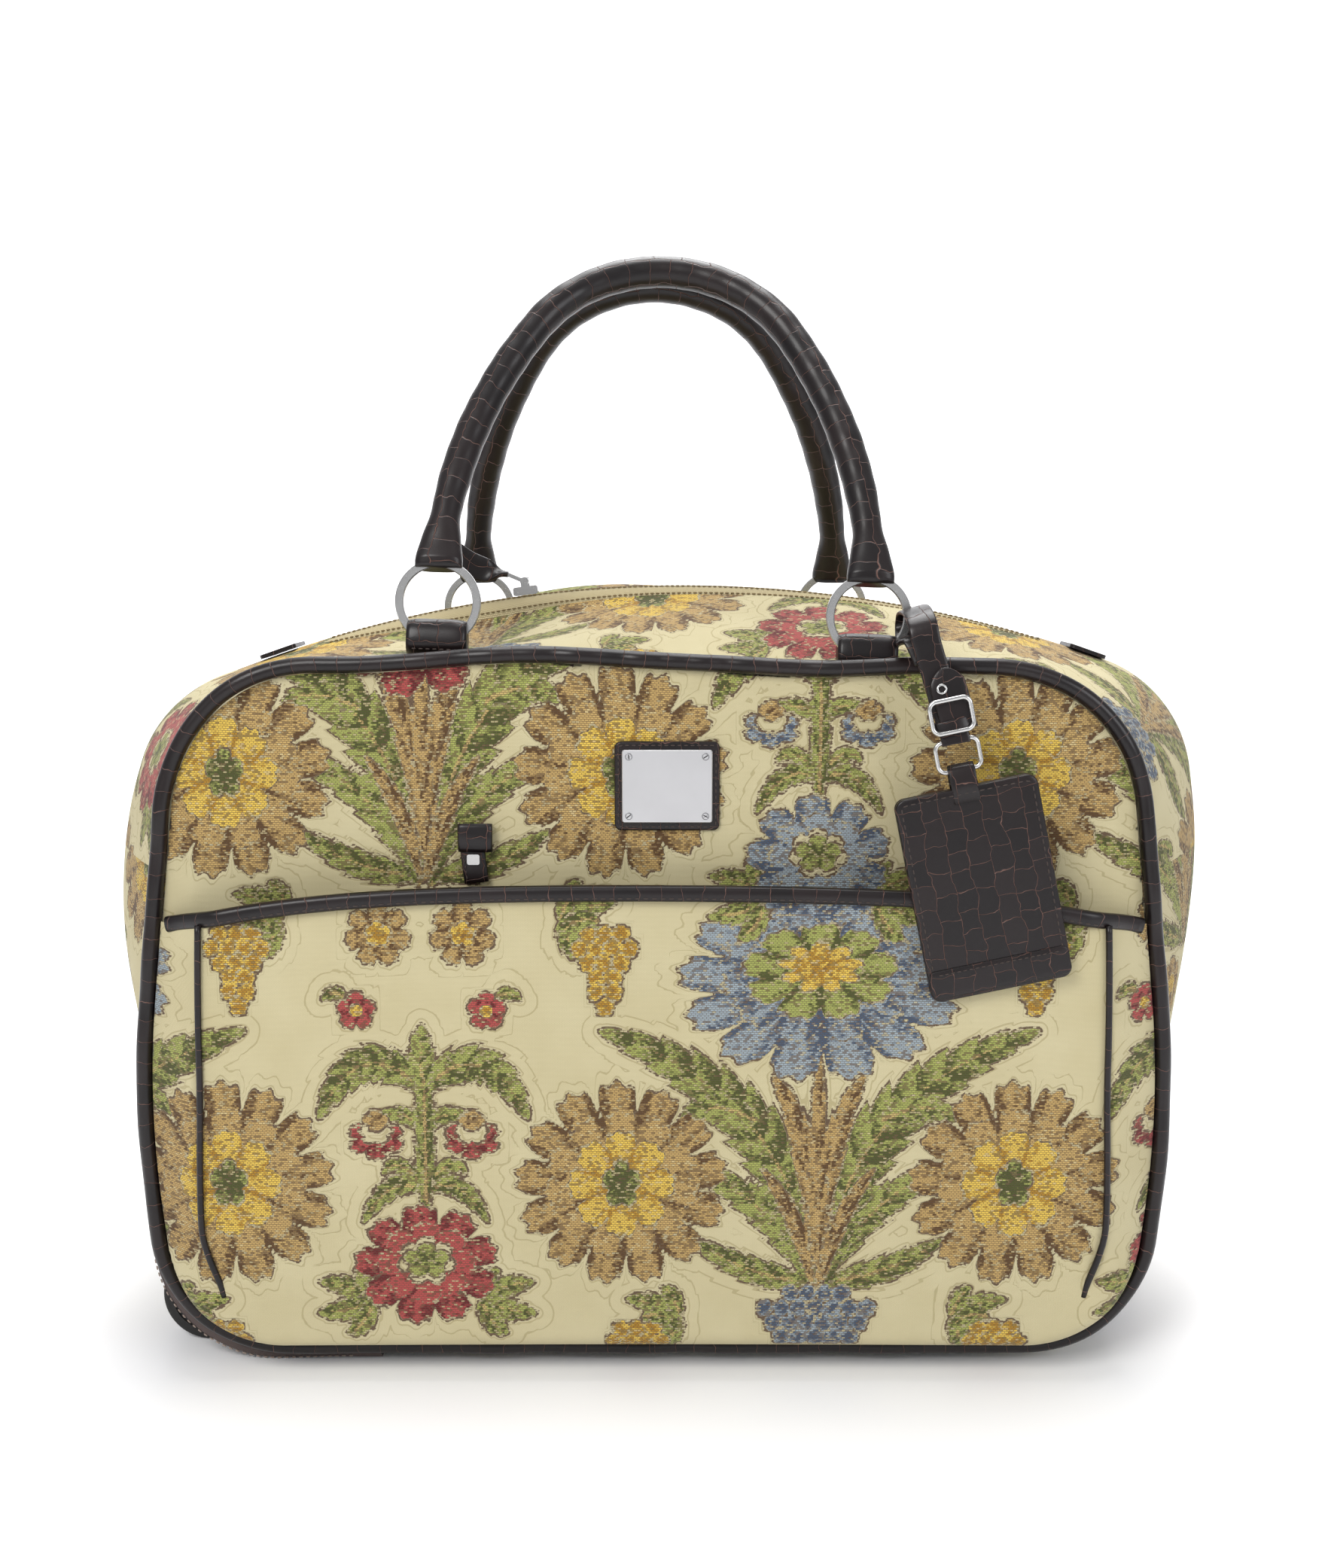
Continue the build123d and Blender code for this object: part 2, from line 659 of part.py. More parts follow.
neck_hole = tag_wire + ring_clearance
neck_half = 5.5
for name, y in (("tag_front", tag_y + tag_layer), ("tag_back", tag_y + 2 * tag_layer + tag_gap)):
    with BuildPart() as layer:
        with BuildSketch(tag_plane(tag_origin, y)):
            RectangleRounded(*tag_size, 4.0)
        extrude(amount=tag_layer)
        if name == "tag_back":
            # The neck rises from the back layer and folds round the wire loop's lower bar.
            with BuildSketch(tag_plane(tag_origin + tag_up * (tag_size[1] + tag_neck) / 2, y)):
                Rectangle(2 * neck_half, tag_neck + 4.0)
            extrude(amount=tag_layer)
            with BuildSketch(Plane(origin=neck_eye, x_dir=(0, 1, 0), z_dir=tag_right)):
                Circle(neck_hole + loop_wall)
            extrude(amount=neck_half, both=True)
            with BuildSketch(Plane(origin=neck_eye, x_dir=(0, 1, 0), z_dir=tag_right)):
                Circle(neck_hole)
            extrude(amount=2 * neck_half, both=True, mode=Mode.SUBTRACT)
            with BuildSketch(tag_plane(tag_origin, tag_y + tag_layer + tag_gap)):
                RectangleRounded(*tag_size, 4.0)
            extrude(amount=2 * tag_layer, mode=Mode.SUBTRACT)
    save(layer, name)

with BuildPart() as tag_card:
    with BuildSketch(tag_plane(tag_origin, tag_y + tag_layer + tag_gap)):
        Rectangle(tag_size[0] - 10.0, tag_size[1] - 12.0)
    extrude(amount=tag_gap)
save(tag_card, "tag_card")

for name, centre, y, size in (
        ("tag_wire_loop", wire_centre, tag_middle_y, tag_loop_size),
        ("tag_buckle", strap_foot + tag_up * 12.0, tag_middle_y - 3.0, (19.0, 15.0))):
    with BuildSketch(tag_plane(centre, y)) as frame_line:
        RectangleRounded(*size, 3.5)
    path = frame_line.sketch.face().outer_wire()
    with BuildPart() as frame:
        with BuildSketch(Plane(origin=path @ 0, z_dir=path % 0)):
            Circle(tag_wire)
        sweep(path=path)
    save(frame, name)

# The strap: a roomy loop round the ring's outer side, then a doubled band down to the wire.
grip_x, grip_z = tilted(front_tilt, ring_half, 0)
grip_turn = radians(tag_ring_angle)
strap_eye = Vector(grip_x + ring_middle * cos(grip_turn), ring_front_y,
                   ring_height + grip_z + ring_middle * sin(grip_turn))
over_piping = front_face - 14.0
strap_head = Vector(strap_eye.X + 3.0, over_piping, strap_eye.Z)
fall = strap_foot - strap_head
fall_width = Vector(-fall.Z, 0, fall.X).normalized()
fall_plane = Plane(origin=strap_head + fall * 0.5, x_dir=fall_width, z_dir=fall_width.cross(fall.normalized()))
loop_half_height = 5.0
with BuildPart() as tag_strap:
    with BuildSketch(Plane.XY.offset(strap_eye.Z - loop_half_height)):
        with Locations((strap_eye.X, strap_eye.Y)):
            Circle(tag_strap_hole + loop_wall)
        with Locations((strap_eye.X + 1.5, (strap_eye.Y - tag_strap_hole + over_piping) / 2)):
            Rectangle(5.0, strap_eye.Y - tag_strap_hole - over_piping + 2.0)
        with Locations((strap_eye.X, strap_eye.Y)):
            Circle(tag_strap_hole, mode=Mode.SUBTRACT)
    extrude(amount=2 * loop_half_height)
    with BuildSketch(fall_plane):
        Rectangle(tag_strap_width, fall.length)
    extrude(amount=tag_strap_thickness / 2, both=True)
    with BuildSketch(Plane(origin=strap_foot, x_dir=(0, 1, 0), z_dir=tag_right)):
        Circle(neck_hole + loop_wall)
    extrude(amount=neck_half, both=True)
    with BuildSketch(Plane(origin=strap_foot, x_dir=(0, 1, 0), z_dir=tag_right)):
        Circle(neck_hole)
    extrude(amount=2 * neck_half, both=True, mode=Mode.SUBTRACT)
save(tag_strap, "tag_strap")

# ---- wheels, their axles and the moulded corner guards that house them ----
with BuildPart() as guard_space:
    with BuildSketch(upright(back_face)):
        with BuildLine():
            FilletPolyline((guard_left, 3 * guard_rise), (guard_left, guard_bottom), (0, guard_bottom),
                           (0, 3 * guard_rise), radius=[1.0, guard_corner, 1.0, 1.0], close=True)
        make_face()
    extrude(amount=back_face - front_face)
guard_places = {"front": edge_front + piping_radius - seam_gap, "back": edge_back - piping_radius + seam_gap - guard_width}
for end, place in wheel_places.items():
    start = guard_places[end]
    with BuildPart() as guard:
        with BuildSketch(upright(start + guard_width)):
            with BuildLine():
                Polyline((guard_left, guard_rise), (guard_left, guard_bottom), (guard_reach, guard_bottom),
                         (guard_reach - guard_lip, bag_bottom + 2.0), (-foot_half + 40.0, bag_bottom + 30.0),
                         (-foot_half + 4.0, guard_rise), close=True)
            make_face()
        extrude(amount=guard_width)
        add(outer_block, mode=Mode.SUBTRACT)
    well = housing_block(place)
    with BuildPart() as wheel_guard:
        add(guard.part.solids().sort_by(SortBy.VOLUME)[-1])
        add(well)
        add(guard_space.part, mode=Mode.INTERSECT)
        with BuildSketch(upright(place + well_half, wheel_x, wheel_radius)):
            Circle(well_radius)
        extrude(amount=2 * well_half, mode=Mode.SUBTRACT)
        with BuildSketch(upright(back_face, wheel_x, wheel_radius)):
            Circle(axle_radius)
        extrude(amount=back_face - front_face, mode=Mode.SUBTRACT)
    save(wheel_guard, f"wheel_guard_{end}")

    with BuildPart() as axle:
        with BuildSketch(upright(place + well_half + housing_wall, wheel_x, wheel_radius)):
            Circle(axle_radius)
        extrude(amount=2 * (well_half + housing_wall))
    save(axle, f"axle_{end}")

    with BuildPart() as hub:
        with BuildSketch(upright(place + wheel_width / 2 - 1.0, wheel_x, wheel_radius)):
            Circle(wheel_radius - tyre_depth)
            Circle(axle_radius + axle_fit, mode=Mode.SUBTRACT)
        extrude(amount=wheel_width - 2.0)
    save(hub, f"wheel_hub_{end}")

    with BuildPart() as tyre:
        with BuildSketch(upright(place + wheel_width / 2, wheel_x, wheel_radius)):
            Circle(wheel_radius)
            Circle(wheel_radius - tyre_depth, mode=Mode.SUBTRACT)
        extrude(amount=wheel_width)
        rims = tyre.edges().filter_by(GeomType.CIRCLE).group_by(SortBy.RADIUS)[-1]
        fillet(rims, 2.0)
    save(tyre, f"tyre_{end}")

# ---- feet under the right end ----
with BuildPart() as feet:
    for y in (front_face + foot_setback, back_face - foot_setback):
        with BuildSketch(Plane.XY):
            with Locations((foot_x, y)):
                RectangleRounded(*foot_size, 4.0)
        extrude(amount=bag_bottom)
save(feet, "feet")

# ---- base board and tow handle: fixed outer tubes and two sliding stages with a grip ----
board_z = bag_bottom + wall + seam_gap
with BuildPart() as base_board:
    with Locations((0, middle, board_z + board_thickness / 2)):
        Box(2 * board_half, edge_back - edge_front - 8.0, board_thickness)
    fillet(base_board.edges().filter_by(Axis.Z), 12.0)
save(base_board, "base_board")


def tube_pair(width, height, start, end, wall_thickness):
    """Two straight box tubes, one each side of the bag's middle."""
    with BuildPart() as pair:
        with BuildSketch(Plane(origin=(start, middle, tube_axis_z), x_dir=(0, 1, 0), z_dir=(1, 0, 0))):
            with GridLocations(tube_spacing, 1, 2, 1):
                RectangleRounded(width, height, 1.5)
                RectangleRounded(width - 2 * wall_thickness, height - 2 * wall_thickness, 0.5,
                                 mode=Mode.SUBTRACT)
        extrude(amount=end - start)
    return pair


grip_back = bezel_face - grip_recess - grip_depth
width, height = outer_tube
save(tube_pair(width, height, tube_start, tube_end, tube_wall), "tow_outer_tubes")
shrink = 2 * (tube_wall + tube_fit)
save(tube_pair(width - shrink, height - shrink, tube_start + stage_step, tube_end + stage_step, tube_wall),
     "tow_middle_tubes")
save(tube_pair(width - 2 * shrink, height - 2 * shrink, tube_start + 2 * stage_step, grip_back, tube_wall),
     "tow_inner_tubes")

with BuildPart() as tow_bezel:
    add(bezel_space.part)
    fillet(tow_bezel.edges().filter_by(Axis.X), 6.0)
    fillet(tow_bezel.faces().sort_by(Axis.X)[-1].edges(), 2.0)
    with BuildSketch(Plane(origin=(grip_back - 1.0, middle, tube_axis_z), x_dir=(0, 1, 0), z_dir=(1, 0, 0))):
        RectangleRounded(grip_size[0] + 2.0, grip_size[1] + 2.0, 4.0)
    extrude(amount=grip_depth + grip_recess + 2.0, mode=Mode.SUBTRACT)
    with BuildSketch(Plane(origin=(bezel_face - bezel_depth - 1.0, middle, tube_axis_z), x_dir=(0, 1, 0),
                           z_dir=(1, 0, 0))):
        with GridLocations(tube_spacing, 1, 2, 1):
            RectangleRounded(*outer_tube, 1.5)
    extrude(amount=bezel_depth, mode=Mode.SUBTRACT)
save(tow_bezel, "tow_bezel")

with BuildPart() as tow_clamp:
    with Locations((tube_start + 16.0, middle, board_z + board_thickness + (outer_tube[1] + 3.0) / 2)):
        Box(12.0, tube_spacing + outer_tube[0] + 6.0, outer_tube[1] + 3.0)
    with BuildSketch(Plane(origin=(tube_start, middle, tube_axis_z), x_dir=(0, 1, 0), z_dir=(1, 0, 0))):
        with GridLocations(tube_spacing, 1, 2, 1):
            RectangleRounded(*outer_tube, 1.5)
    extrude(amount=40.0, mode=Mode.SUBTRACT)
save(tow_clamp, "tow_clamp")

button_space = (button_size[0] + 0.6, button_size[1] + 0.6)
grip_plane = Plane(origin=(grip_back, middle, tube_axis_z), x_dir=(0, 1, 0), z_dir=(1, 0, 0))
with BuildPart() as tow_grip:
    with BuildSketch(grip_plane):
        RectangleRounded(*grip_size, 5.0)
    extrude(amount=grip_depth)
    fillet(tow_grip.faces().sort_by(Axis.X)[-1].edges(), 3.0)
    with BuildSketch(grip_plane.offset(grip_depth)):
        RectangleRounded(*button_space, 2.0)
    extrude(amount=-(button_depth + button_travel + 0.3), mode=Mode.SUBTRACT)
save(tow_grip, "tow_grip")

with BuildPart() as tow_button:
    with BuildSketch(grip_plane.offset(grip_depth + 0.5)):
        RectangleRounded(*button_size, 2.0)
    extrude(amount=-button_depth)
    fillet(tow_button.faces().sort_by(Axis.X)[-1].edges(), 0.8)
save(tow_button, "tow_button")

# ---- zip slider and its leather pull ----
slider_angle = asin((slider_x - crest_x) / crest_radius)
slider_out = Vector(sin(slider_angle), 0, cos(slider_angle))
slider_along = Vector(cos(slider_angle), 0, -sin(slider_angle))
coil_top = tape_radius + coil_height / 2
slider_base = Vector(crest_x, middle, zip_centre_z) + slider_out * (coil_top + seam_gap)
pin_height = slider_size[2] + 2.6
pin_centre = slider_base + slider_out * pin_height
slider_front = Plane(origin=slider_base + Vector(0, slider_size[1] / 2, 0), x_dir=slider_along, z_dir=(0, -1, 0))
with BuildPart() as zip_slider:
    with BuildSketch(slider_front):
        with Locations((0, slider_size[2] / 2)):
            RectangleRounded(slider_size[0], slider_size[2], 1.2)
    extrude(amount=slider_size[1])
    with BuildSketch(slider_front):
        with Locations((0, (slider_size[2] + pin_height + 1.4) / 2)):
            Rectangle(4.0, pin_height + 1.4 - slider_size[2] + 1.0)
    extrude(amount=slider_size[1])
    lug_gap = slider_size[1] - 2 * 1.2
    with BuildSketch(slider_front.offset(1.2)):
        with Locations((0, (slider_size[2] + pin_height + 6.0) / 2)):
            Rectangle(20.0, pin_height + 6.0 - slider_size[2])
    extrude(amount=lug_gap, mode=Mode.SUBTRACT)
    with BuildSketch(slider_front):
        with Locations((0, pin_height)):
            Circle(pull_pin)
    extrude(amount=slider_size[1])
save(zip_slider, "zip_slider")

pull_rise = radians(pull_lift)
pull_run = slider_out * sin(pull_rise) - slider_along * cos(pull_rise)
pull_half = slider_size[1] / 2 - 1.2 - seam_gap
pull_plane = Plane(origin=pin_centre + Vector(0, pull_half, 0), x_dir=pull_run, z_dir=(0, -1, 0))
eye_wall = 1.0
with BuildPart() as pull_link:
    with BuildSketch(pull_plane):
        Circle(pull_pin + seam_gap + eye_wall)
        with Locations((5.5, 0)):
            Rectangle(9.0, 2.0)
        Circle(pull_pin + seam_gap, mode=Mode.SUBTRACT)
    extrude(amount=2 * pull_half)
save(pull_link, "zip_pull_link")

with BuildPart() as zip_pull:
    with BuildSketch(Plane(origin=pin_centre + pull_run * (10.0 + pull_length / 2), x_dir=pull_run,
                           z_dir=pull_run.cross(Vector(0, 1, 0)))):
        RectangleRounded(pull_length, pull_width, 2.0)
    extrude(amount=pull_thickness / 2, both=True)
save(zip_pull, "zip_pull")

print("ring pivots", [(end, tilted(h[2], 0, -ring_middle), h[0], h[1]) for end, h in handles.items()])
print("handle pivots", [(end, tilted(h[2], 0, ring_middle), h[0], h[1]) for end, h in handles.items()])
print("strap eye", strap_eye, "neck eye", neck_eye, "tag right", tag_right)
print("slider centre", (crest_x, middle, zip_centre_z), "pin", pin_centre, "tube z", tube_axis_z)
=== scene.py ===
from math import asin, atan2, ceil, cos, pi, radians, sin

import bpy
import numpy as np
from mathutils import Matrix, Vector


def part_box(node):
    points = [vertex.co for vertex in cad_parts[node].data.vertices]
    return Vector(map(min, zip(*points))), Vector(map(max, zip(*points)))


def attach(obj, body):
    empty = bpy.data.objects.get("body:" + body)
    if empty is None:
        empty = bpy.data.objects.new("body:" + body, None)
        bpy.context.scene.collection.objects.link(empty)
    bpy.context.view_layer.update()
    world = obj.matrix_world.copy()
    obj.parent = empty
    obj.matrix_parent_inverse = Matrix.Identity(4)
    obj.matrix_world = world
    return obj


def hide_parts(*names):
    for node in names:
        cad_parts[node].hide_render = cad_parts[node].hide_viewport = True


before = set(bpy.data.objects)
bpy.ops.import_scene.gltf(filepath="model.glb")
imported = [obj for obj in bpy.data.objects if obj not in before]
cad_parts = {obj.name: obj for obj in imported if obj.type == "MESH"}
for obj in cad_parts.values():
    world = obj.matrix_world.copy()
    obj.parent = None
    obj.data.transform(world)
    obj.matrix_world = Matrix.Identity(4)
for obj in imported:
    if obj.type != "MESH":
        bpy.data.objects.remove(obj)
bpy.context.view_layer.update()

# ---- studio: a camera a little above the bag's zip, a pale sweep and four soft lights ----
# The sweep is one sheet: it lies flat as the floor and turns up behind the bag.
camera = bpy.data.objects.new("camera", bpy.data.cameras.new("camera"))
camera.location = (0.005, -0.884, 0.405)
camera.rotation_euler = (radians(82.0), 0, 0)
camera.data.sensor_fit = "VERTICAL"
camera.data.sensor_height = 36.0
camera.data.lens = 38.47
bpy.context.scene.collection.objects.link(camera)
bpy.context.scene.camera = camera


def shade(red, green, blue):
    """A colour from its eight-bit screen values, as the linear colour that nodes take."""
    linear = [((c / 255 + 0.055) / 1.055) ** 2.4 if c > 10 else c / 255 / 12.92 for c in (red, green, blue)]
    return (*linear, 1.0)


def soft_light(name, place, aim, size, power, colour=(1.0, 1.0, 1.0)):
    lamp = bpy.data.lights.new(name, "AREA")
    lamp.shape = "DISK"
    lamp.size = size
    lamp.energy = power
    lamp.color = colour
    holder = bpy.data.objects.new(name, lamp)
    holder.location = place
    holder.rotation_euler = (Vector(aim) - Vector(place)).to_track_quat("-Z", "Y").to_euler()
    bpy.context.scene.collection.objects.link(holder)


soft_light("window_light", (-0.9, -1.5, 1.5), (0, 0, 0.2), 1.0, 27.0, (1.0, 0.99, 0.97))
soft_light("room_light", (1.3, -1.2, 0.9), (0, 0, 0.2), 0.9, 10.0, (0.97, 0.98, 1.0))
soft_light("ceiling_light", (0.1, 0.3, 1.9), (0, 0, 0.2), 1.3, 26.0)
soft_light("backdrop_light", (0.0, 0.9, 1.7), (0, 1.7, 0.4), 1.2, 20.0)
world = bpy.data.worlds.new("pale_room")
world.use_nodes = True
world.node_tree.nodes["Background"].inputs["Color"].default_value = shade(236, 238, 242)
world.node_tree.nodes["Background"].inputs["Strength"].default_value = 0.55
bpy.context.scene.world = world
bpy.context.scene.view_settings.view_transform = "Standard"


def mesh_piece(name, points, faces, body=None, smooth=True):
    """A mesh object from points and faces, riding on one of the frame's bodies."""
    mesh = bpy.data.meshes.new(name)
    mesh.from_pydata([tuple(p) for p in points], [], [tuple(f) for f in faces])
    mesh.update()
    if smooth:
        mesh.shade_smooth()
    piece = bpy.data.objects.new(name, mesh)
    bpy.context.scene.collection.objects.link(piece)
    if body:
        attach(piece, body)
    return piece


sweep_profile = [(-3.0, 0.0), (0.9, 0.0)]
sweep_profile += [(0.9 + 0.8 * sin(t), 0.8 - 0.8 * cos(t)) for t in np.linspace(0.15, pi / 2, 14)]
sweep_profile += [(1.7, 3.4)]
sweep_points = [(x, y, z) for x in (-3.5, 3.5) for y, z in sweep_profile]
sweep_faces = [(k, k + 1, k + 1 + len(sweep_profile), k + len(sweep_profile)) for k in range(len(sweep_profile) - 1)]
floor = mesh_piece("floor_sweep", sweep_points, sweep_faces)


def put(tree, kind, settings=None, **sockets):
    """A node in a tree; sockets are given by name with spaces as underscores, as values or links."""
    made = tree.nodes.new(kind)
    for key, value in (settings or {}).items():
        setattr(made, key, value)
    for key, value in sockets.items():
        socket = made.inputs[key.replace("_", " ")]
        if isinstance(value, bpy.types.NodeSocket):
            tree.links.new(value, socket)
        else:
            socket.default_value = value
    return made


def figure(tree, operation, *values, clamp=False):
    made = tree.nodes.new("ShaderNodeMath")
    made.operation = operation
    made.use_clamp = clamp
    for k, value in enumerate(values):
        if isinstance(value, bpy.types.NodeSocket):
            tree.links.new(value, made.inputs[k])
        else:
            made.inputs[k].default_value = value
    return made.outputs[0]


def tint(tree, amount, first, second, way="MIX"):
    """The colour first turned towards the colour second."""
    made = tree.nodes.new("ShaderNodeMix")
    made.data_type = "RGBA"
    made.blend_type = way
    for k, value in ((0, amount), (6, first), (7, second)):
        if isinstance(value, bpy.types.NodeSocket):
            tree.links.new(value, made.inputs[k])
        else:
            made.inputs[k].default_value = value
    return made.outputs[2]


def finish_named(name, **constants):
    """A new material and its shader, with the values that are the same all over set on the shader."""
    made = bpy.data.materials.new(name)
    made.use_nodes = True
    shader = made.node_tree.nodes["Principled BSDF"]
    for key, value in constants.items():
        shader.inputs[key.replace("_", " ")].default_value = value
    return made, made.node_tree, shader


def bump(tree, shader, height, depth, strength=1.0):
    made = put(tree, "ShaderNodeBump", Strength=strength, Distance=depth, Height=height)
    tree.links.new(made.outputs["Normal"], shader.inputs["Normal"])


paper, paper_tree, paper_shader = finish_named("pale_sweep", Roughness=0.9)
grain = put(paper_tree, "ShaderNodeTexNoise", Scale=2.0, Detail=3.0)
paper_tree.links.new(tint(paper_tree, grain.outputs["Fac"], shade(240, 240, 241), shade(246, 246, 247)),
                     paper_shader.inputs["Base Color"])
floor.data.materials.append(paper)

# ---- tapestry cloth: the bag's panels, pocket and gussets are cut from one jacquard tapestry ----
# It is woven cotton with a satin ground and coloured flowers and leaves, padded and sewn at the pipings.
# The cloth is modelled as rounded outlines joined by one smooth surface, lumpy and a little slack.
front_y, back_y, middle_y = -0.090, 0.114, 0.012
bag_foot, side_seam = 0.014, 0.250


def rounded(corners, radii, step=0.0015):
    """A closed clockwise outline whose corners are turned on their radii, as an even run of points."""
    corners = np.array(corners, float)
    points = []
    for k, corner in enumerate(corners):
        before, after = corners[k - 1] - corner, corners[(k + 1) % len(corners)] - corner
        before, after = before / np.linalg.norm(before), after / np.linalg.norm(after)
        half = np.arccos(np.clip(before @ after, -1, 1)) / 2
        middle = (before + after) / np.linalg.norm(before + after)
        centre = corner + middle * radii[k] / sin(half)
        sweep = pi / 2 - half
        start = -middle
        side = before - middle * (before @ middle)
        side = side / np.linalg.norm(side)
        turns = np.linspace(-sweep, sweep, max(3, int(2 * sweep * radii[k] / step)))
        points += [centre + radii[k] * (start * cos(t) - side * sin(t)) for t in turns]
    points = np.array(points + points[:1])
    run = np.concatenate([[0], np.cumsum(np.hypot(*np.diff(points, axis=0).T))])
    even = np.linspace(0, run[-1], int(run[-1] / step), endpoint=False)
    return np.stack([np.interp(even, run, points[:, k]) for k in (0, 1)], axis=1)


def panel_outline(top):
    """Panels: almost flat on top, widest at a knee, with large corners."""
    right = [(0.224, top - 0.003), (0.248, 0.135), (0.236, bag_foot)]
    corners = [(0, top)] + right + [(-x, z) for x, z in reversed(right)]
    return rounded(corners, [4.0, 0.074, 0.5, 0.058, 0.058, 0.5, 0.074])


crest_x, crest_z, crest_radius = 0.015, 0.386, 0.650
arc_z = crest_z - crest_radius


def crest_outline():
    """The fuller middle section: an arc for the zip, sloping shoulders, belly and foot."""
    span = radians(20.0)
    shoulders = [(crest_x + side * (crest_radius * sin(span) + run * cos(span)),
                  arc_z + crest_radius * cos(span) - run * sin(span)) for side, run in ((1, 0.044), (-1, 0.057))]
    corners = [(crest_x, arc_z + crest_radius / cos(span)), shoulders[0], (0.295, 0.225), (0.246, bag_foot),
               (-0.246, bag_foot), (-0.295, 0.225), shoulders[1]]
    return rounded(corners, [crest_radius, 0.070, 0.220, 0.062, 0.062, 0.220, 0.070])


outlines = {"front": panel_outline(0.349), "middle": crest_outline(), "back": panel_outline(0.339)}


def reach(which, turns):
    """How far an outline lies from the seam height's middle, at clockwise turns from straight up."""
    points = outlines[which] - np.array([0, side_seam])
    angle = np.arctan2(points[:, 0], points[:, 1]) % (2 * pi)
    order = np.argsort(angle)
    return np.interp(np.asarray(turns) % (2 * pi), angle[order], np.hypot(*points.T)[order], period=2 * pi)


def bell(value, centre, width):
    return np.exp(-((value - centre) / width) ** 2)


def ramp(value, low, high):
    part = np.clip((value - low) / (high - low), 0, 1)
    return part * part * (3 - 2 * part)


def ripple(x, y, z, seed):
    """Smooth soft lumps between -1 and 1, from a few crossing waves."""
    draw = np.random.default_rng(seed)
    total = 0
    for _ in range(7):
        way = draw.normal(size=3)
        way = way / np.linalg.norm(way) * draw.uniform(30, 75)
        total = total + np.sin(way[0] * x + way[1] * y + way[2] * z + draw.uniform(0, 6.3))
    return total / 4


def settle(x, y, z):
    """How the whole soft top edge has sunk: a dip right of the middle and waves along both pipings."""
    near_top = ramp(z, 0.300, 0.345)
    near_front = ramp(-y, -0.02, 0.085)
    drop = 0.0045 * bell(x, 0.082, 0.042) + 0.0012 * np.sin(x * 41 + 1.0) - 0.0018 * bell(x, -0.06, 0.07)
    return z - near_top * near_front * drop


front_sag, back_puff, ring_pinch = 0.0105, 0.0065, 0.0022


def gusset_point(turns, y):
    """A point of the gusset surface at a turn round the bag and a depth."""
    depth = np.where(y < middle_y, (middle_y - y) / (middle_y - front_y), (y - middle_y) / (back_y - middle_y))
    edge = np.where(y < middle_y, reach("front", turns), reach("back", turns))
    full = reach("middle", turns)
    radius = full + (edge - full) * depth ** 1.5
    x, z = radius * np.sin(turns), side_seam + radius * np.cos(turns)
    loose = np.clip(1 - depth ** 4, 0, 1)
    lumps = 0.0022 * ripple(x, y, z, 4) * loose * ramp(z, 0.03, 0.10)
    puckers = 0.0007 * np.sin(1000 * (x + z) / 7.5) * ramp(depth, 0.72, 0.97) * ramp(z, 0.05, 0.12)
    radius = radius + lumps + puckers * (1 - ramp(depth, 0.97, 1.0))
    x, z = radius * np.sin(turns), side_seam + radius * np.cos(turns)
    slack = bell(x, -0.075, 0.085) * ramp(z, 0.30, 0.36)
    z = z - front_sag * slack * ramp(-y, -0.0085, 0.010) * (1 - ramp(-y, 0.030, 0.088))
    behind_zip = ramp(y, 0.0265, 0.044)
    z = z + back_puff * bell(x, -0.050, 0.085) * ramp(z, 0.30, 0.36) * behind_zip * (1 - ramp(y, 0.060, 0.100))
    pinch = bell(x, -0.103, 0.022) + bell(x, 0.103, 0.022)
    z = z - ring_pinch * pinch * bell(y, -0.079, 0.012) * ramp(z, 0.30, 0.34)
    return x, settle(x, y, z)


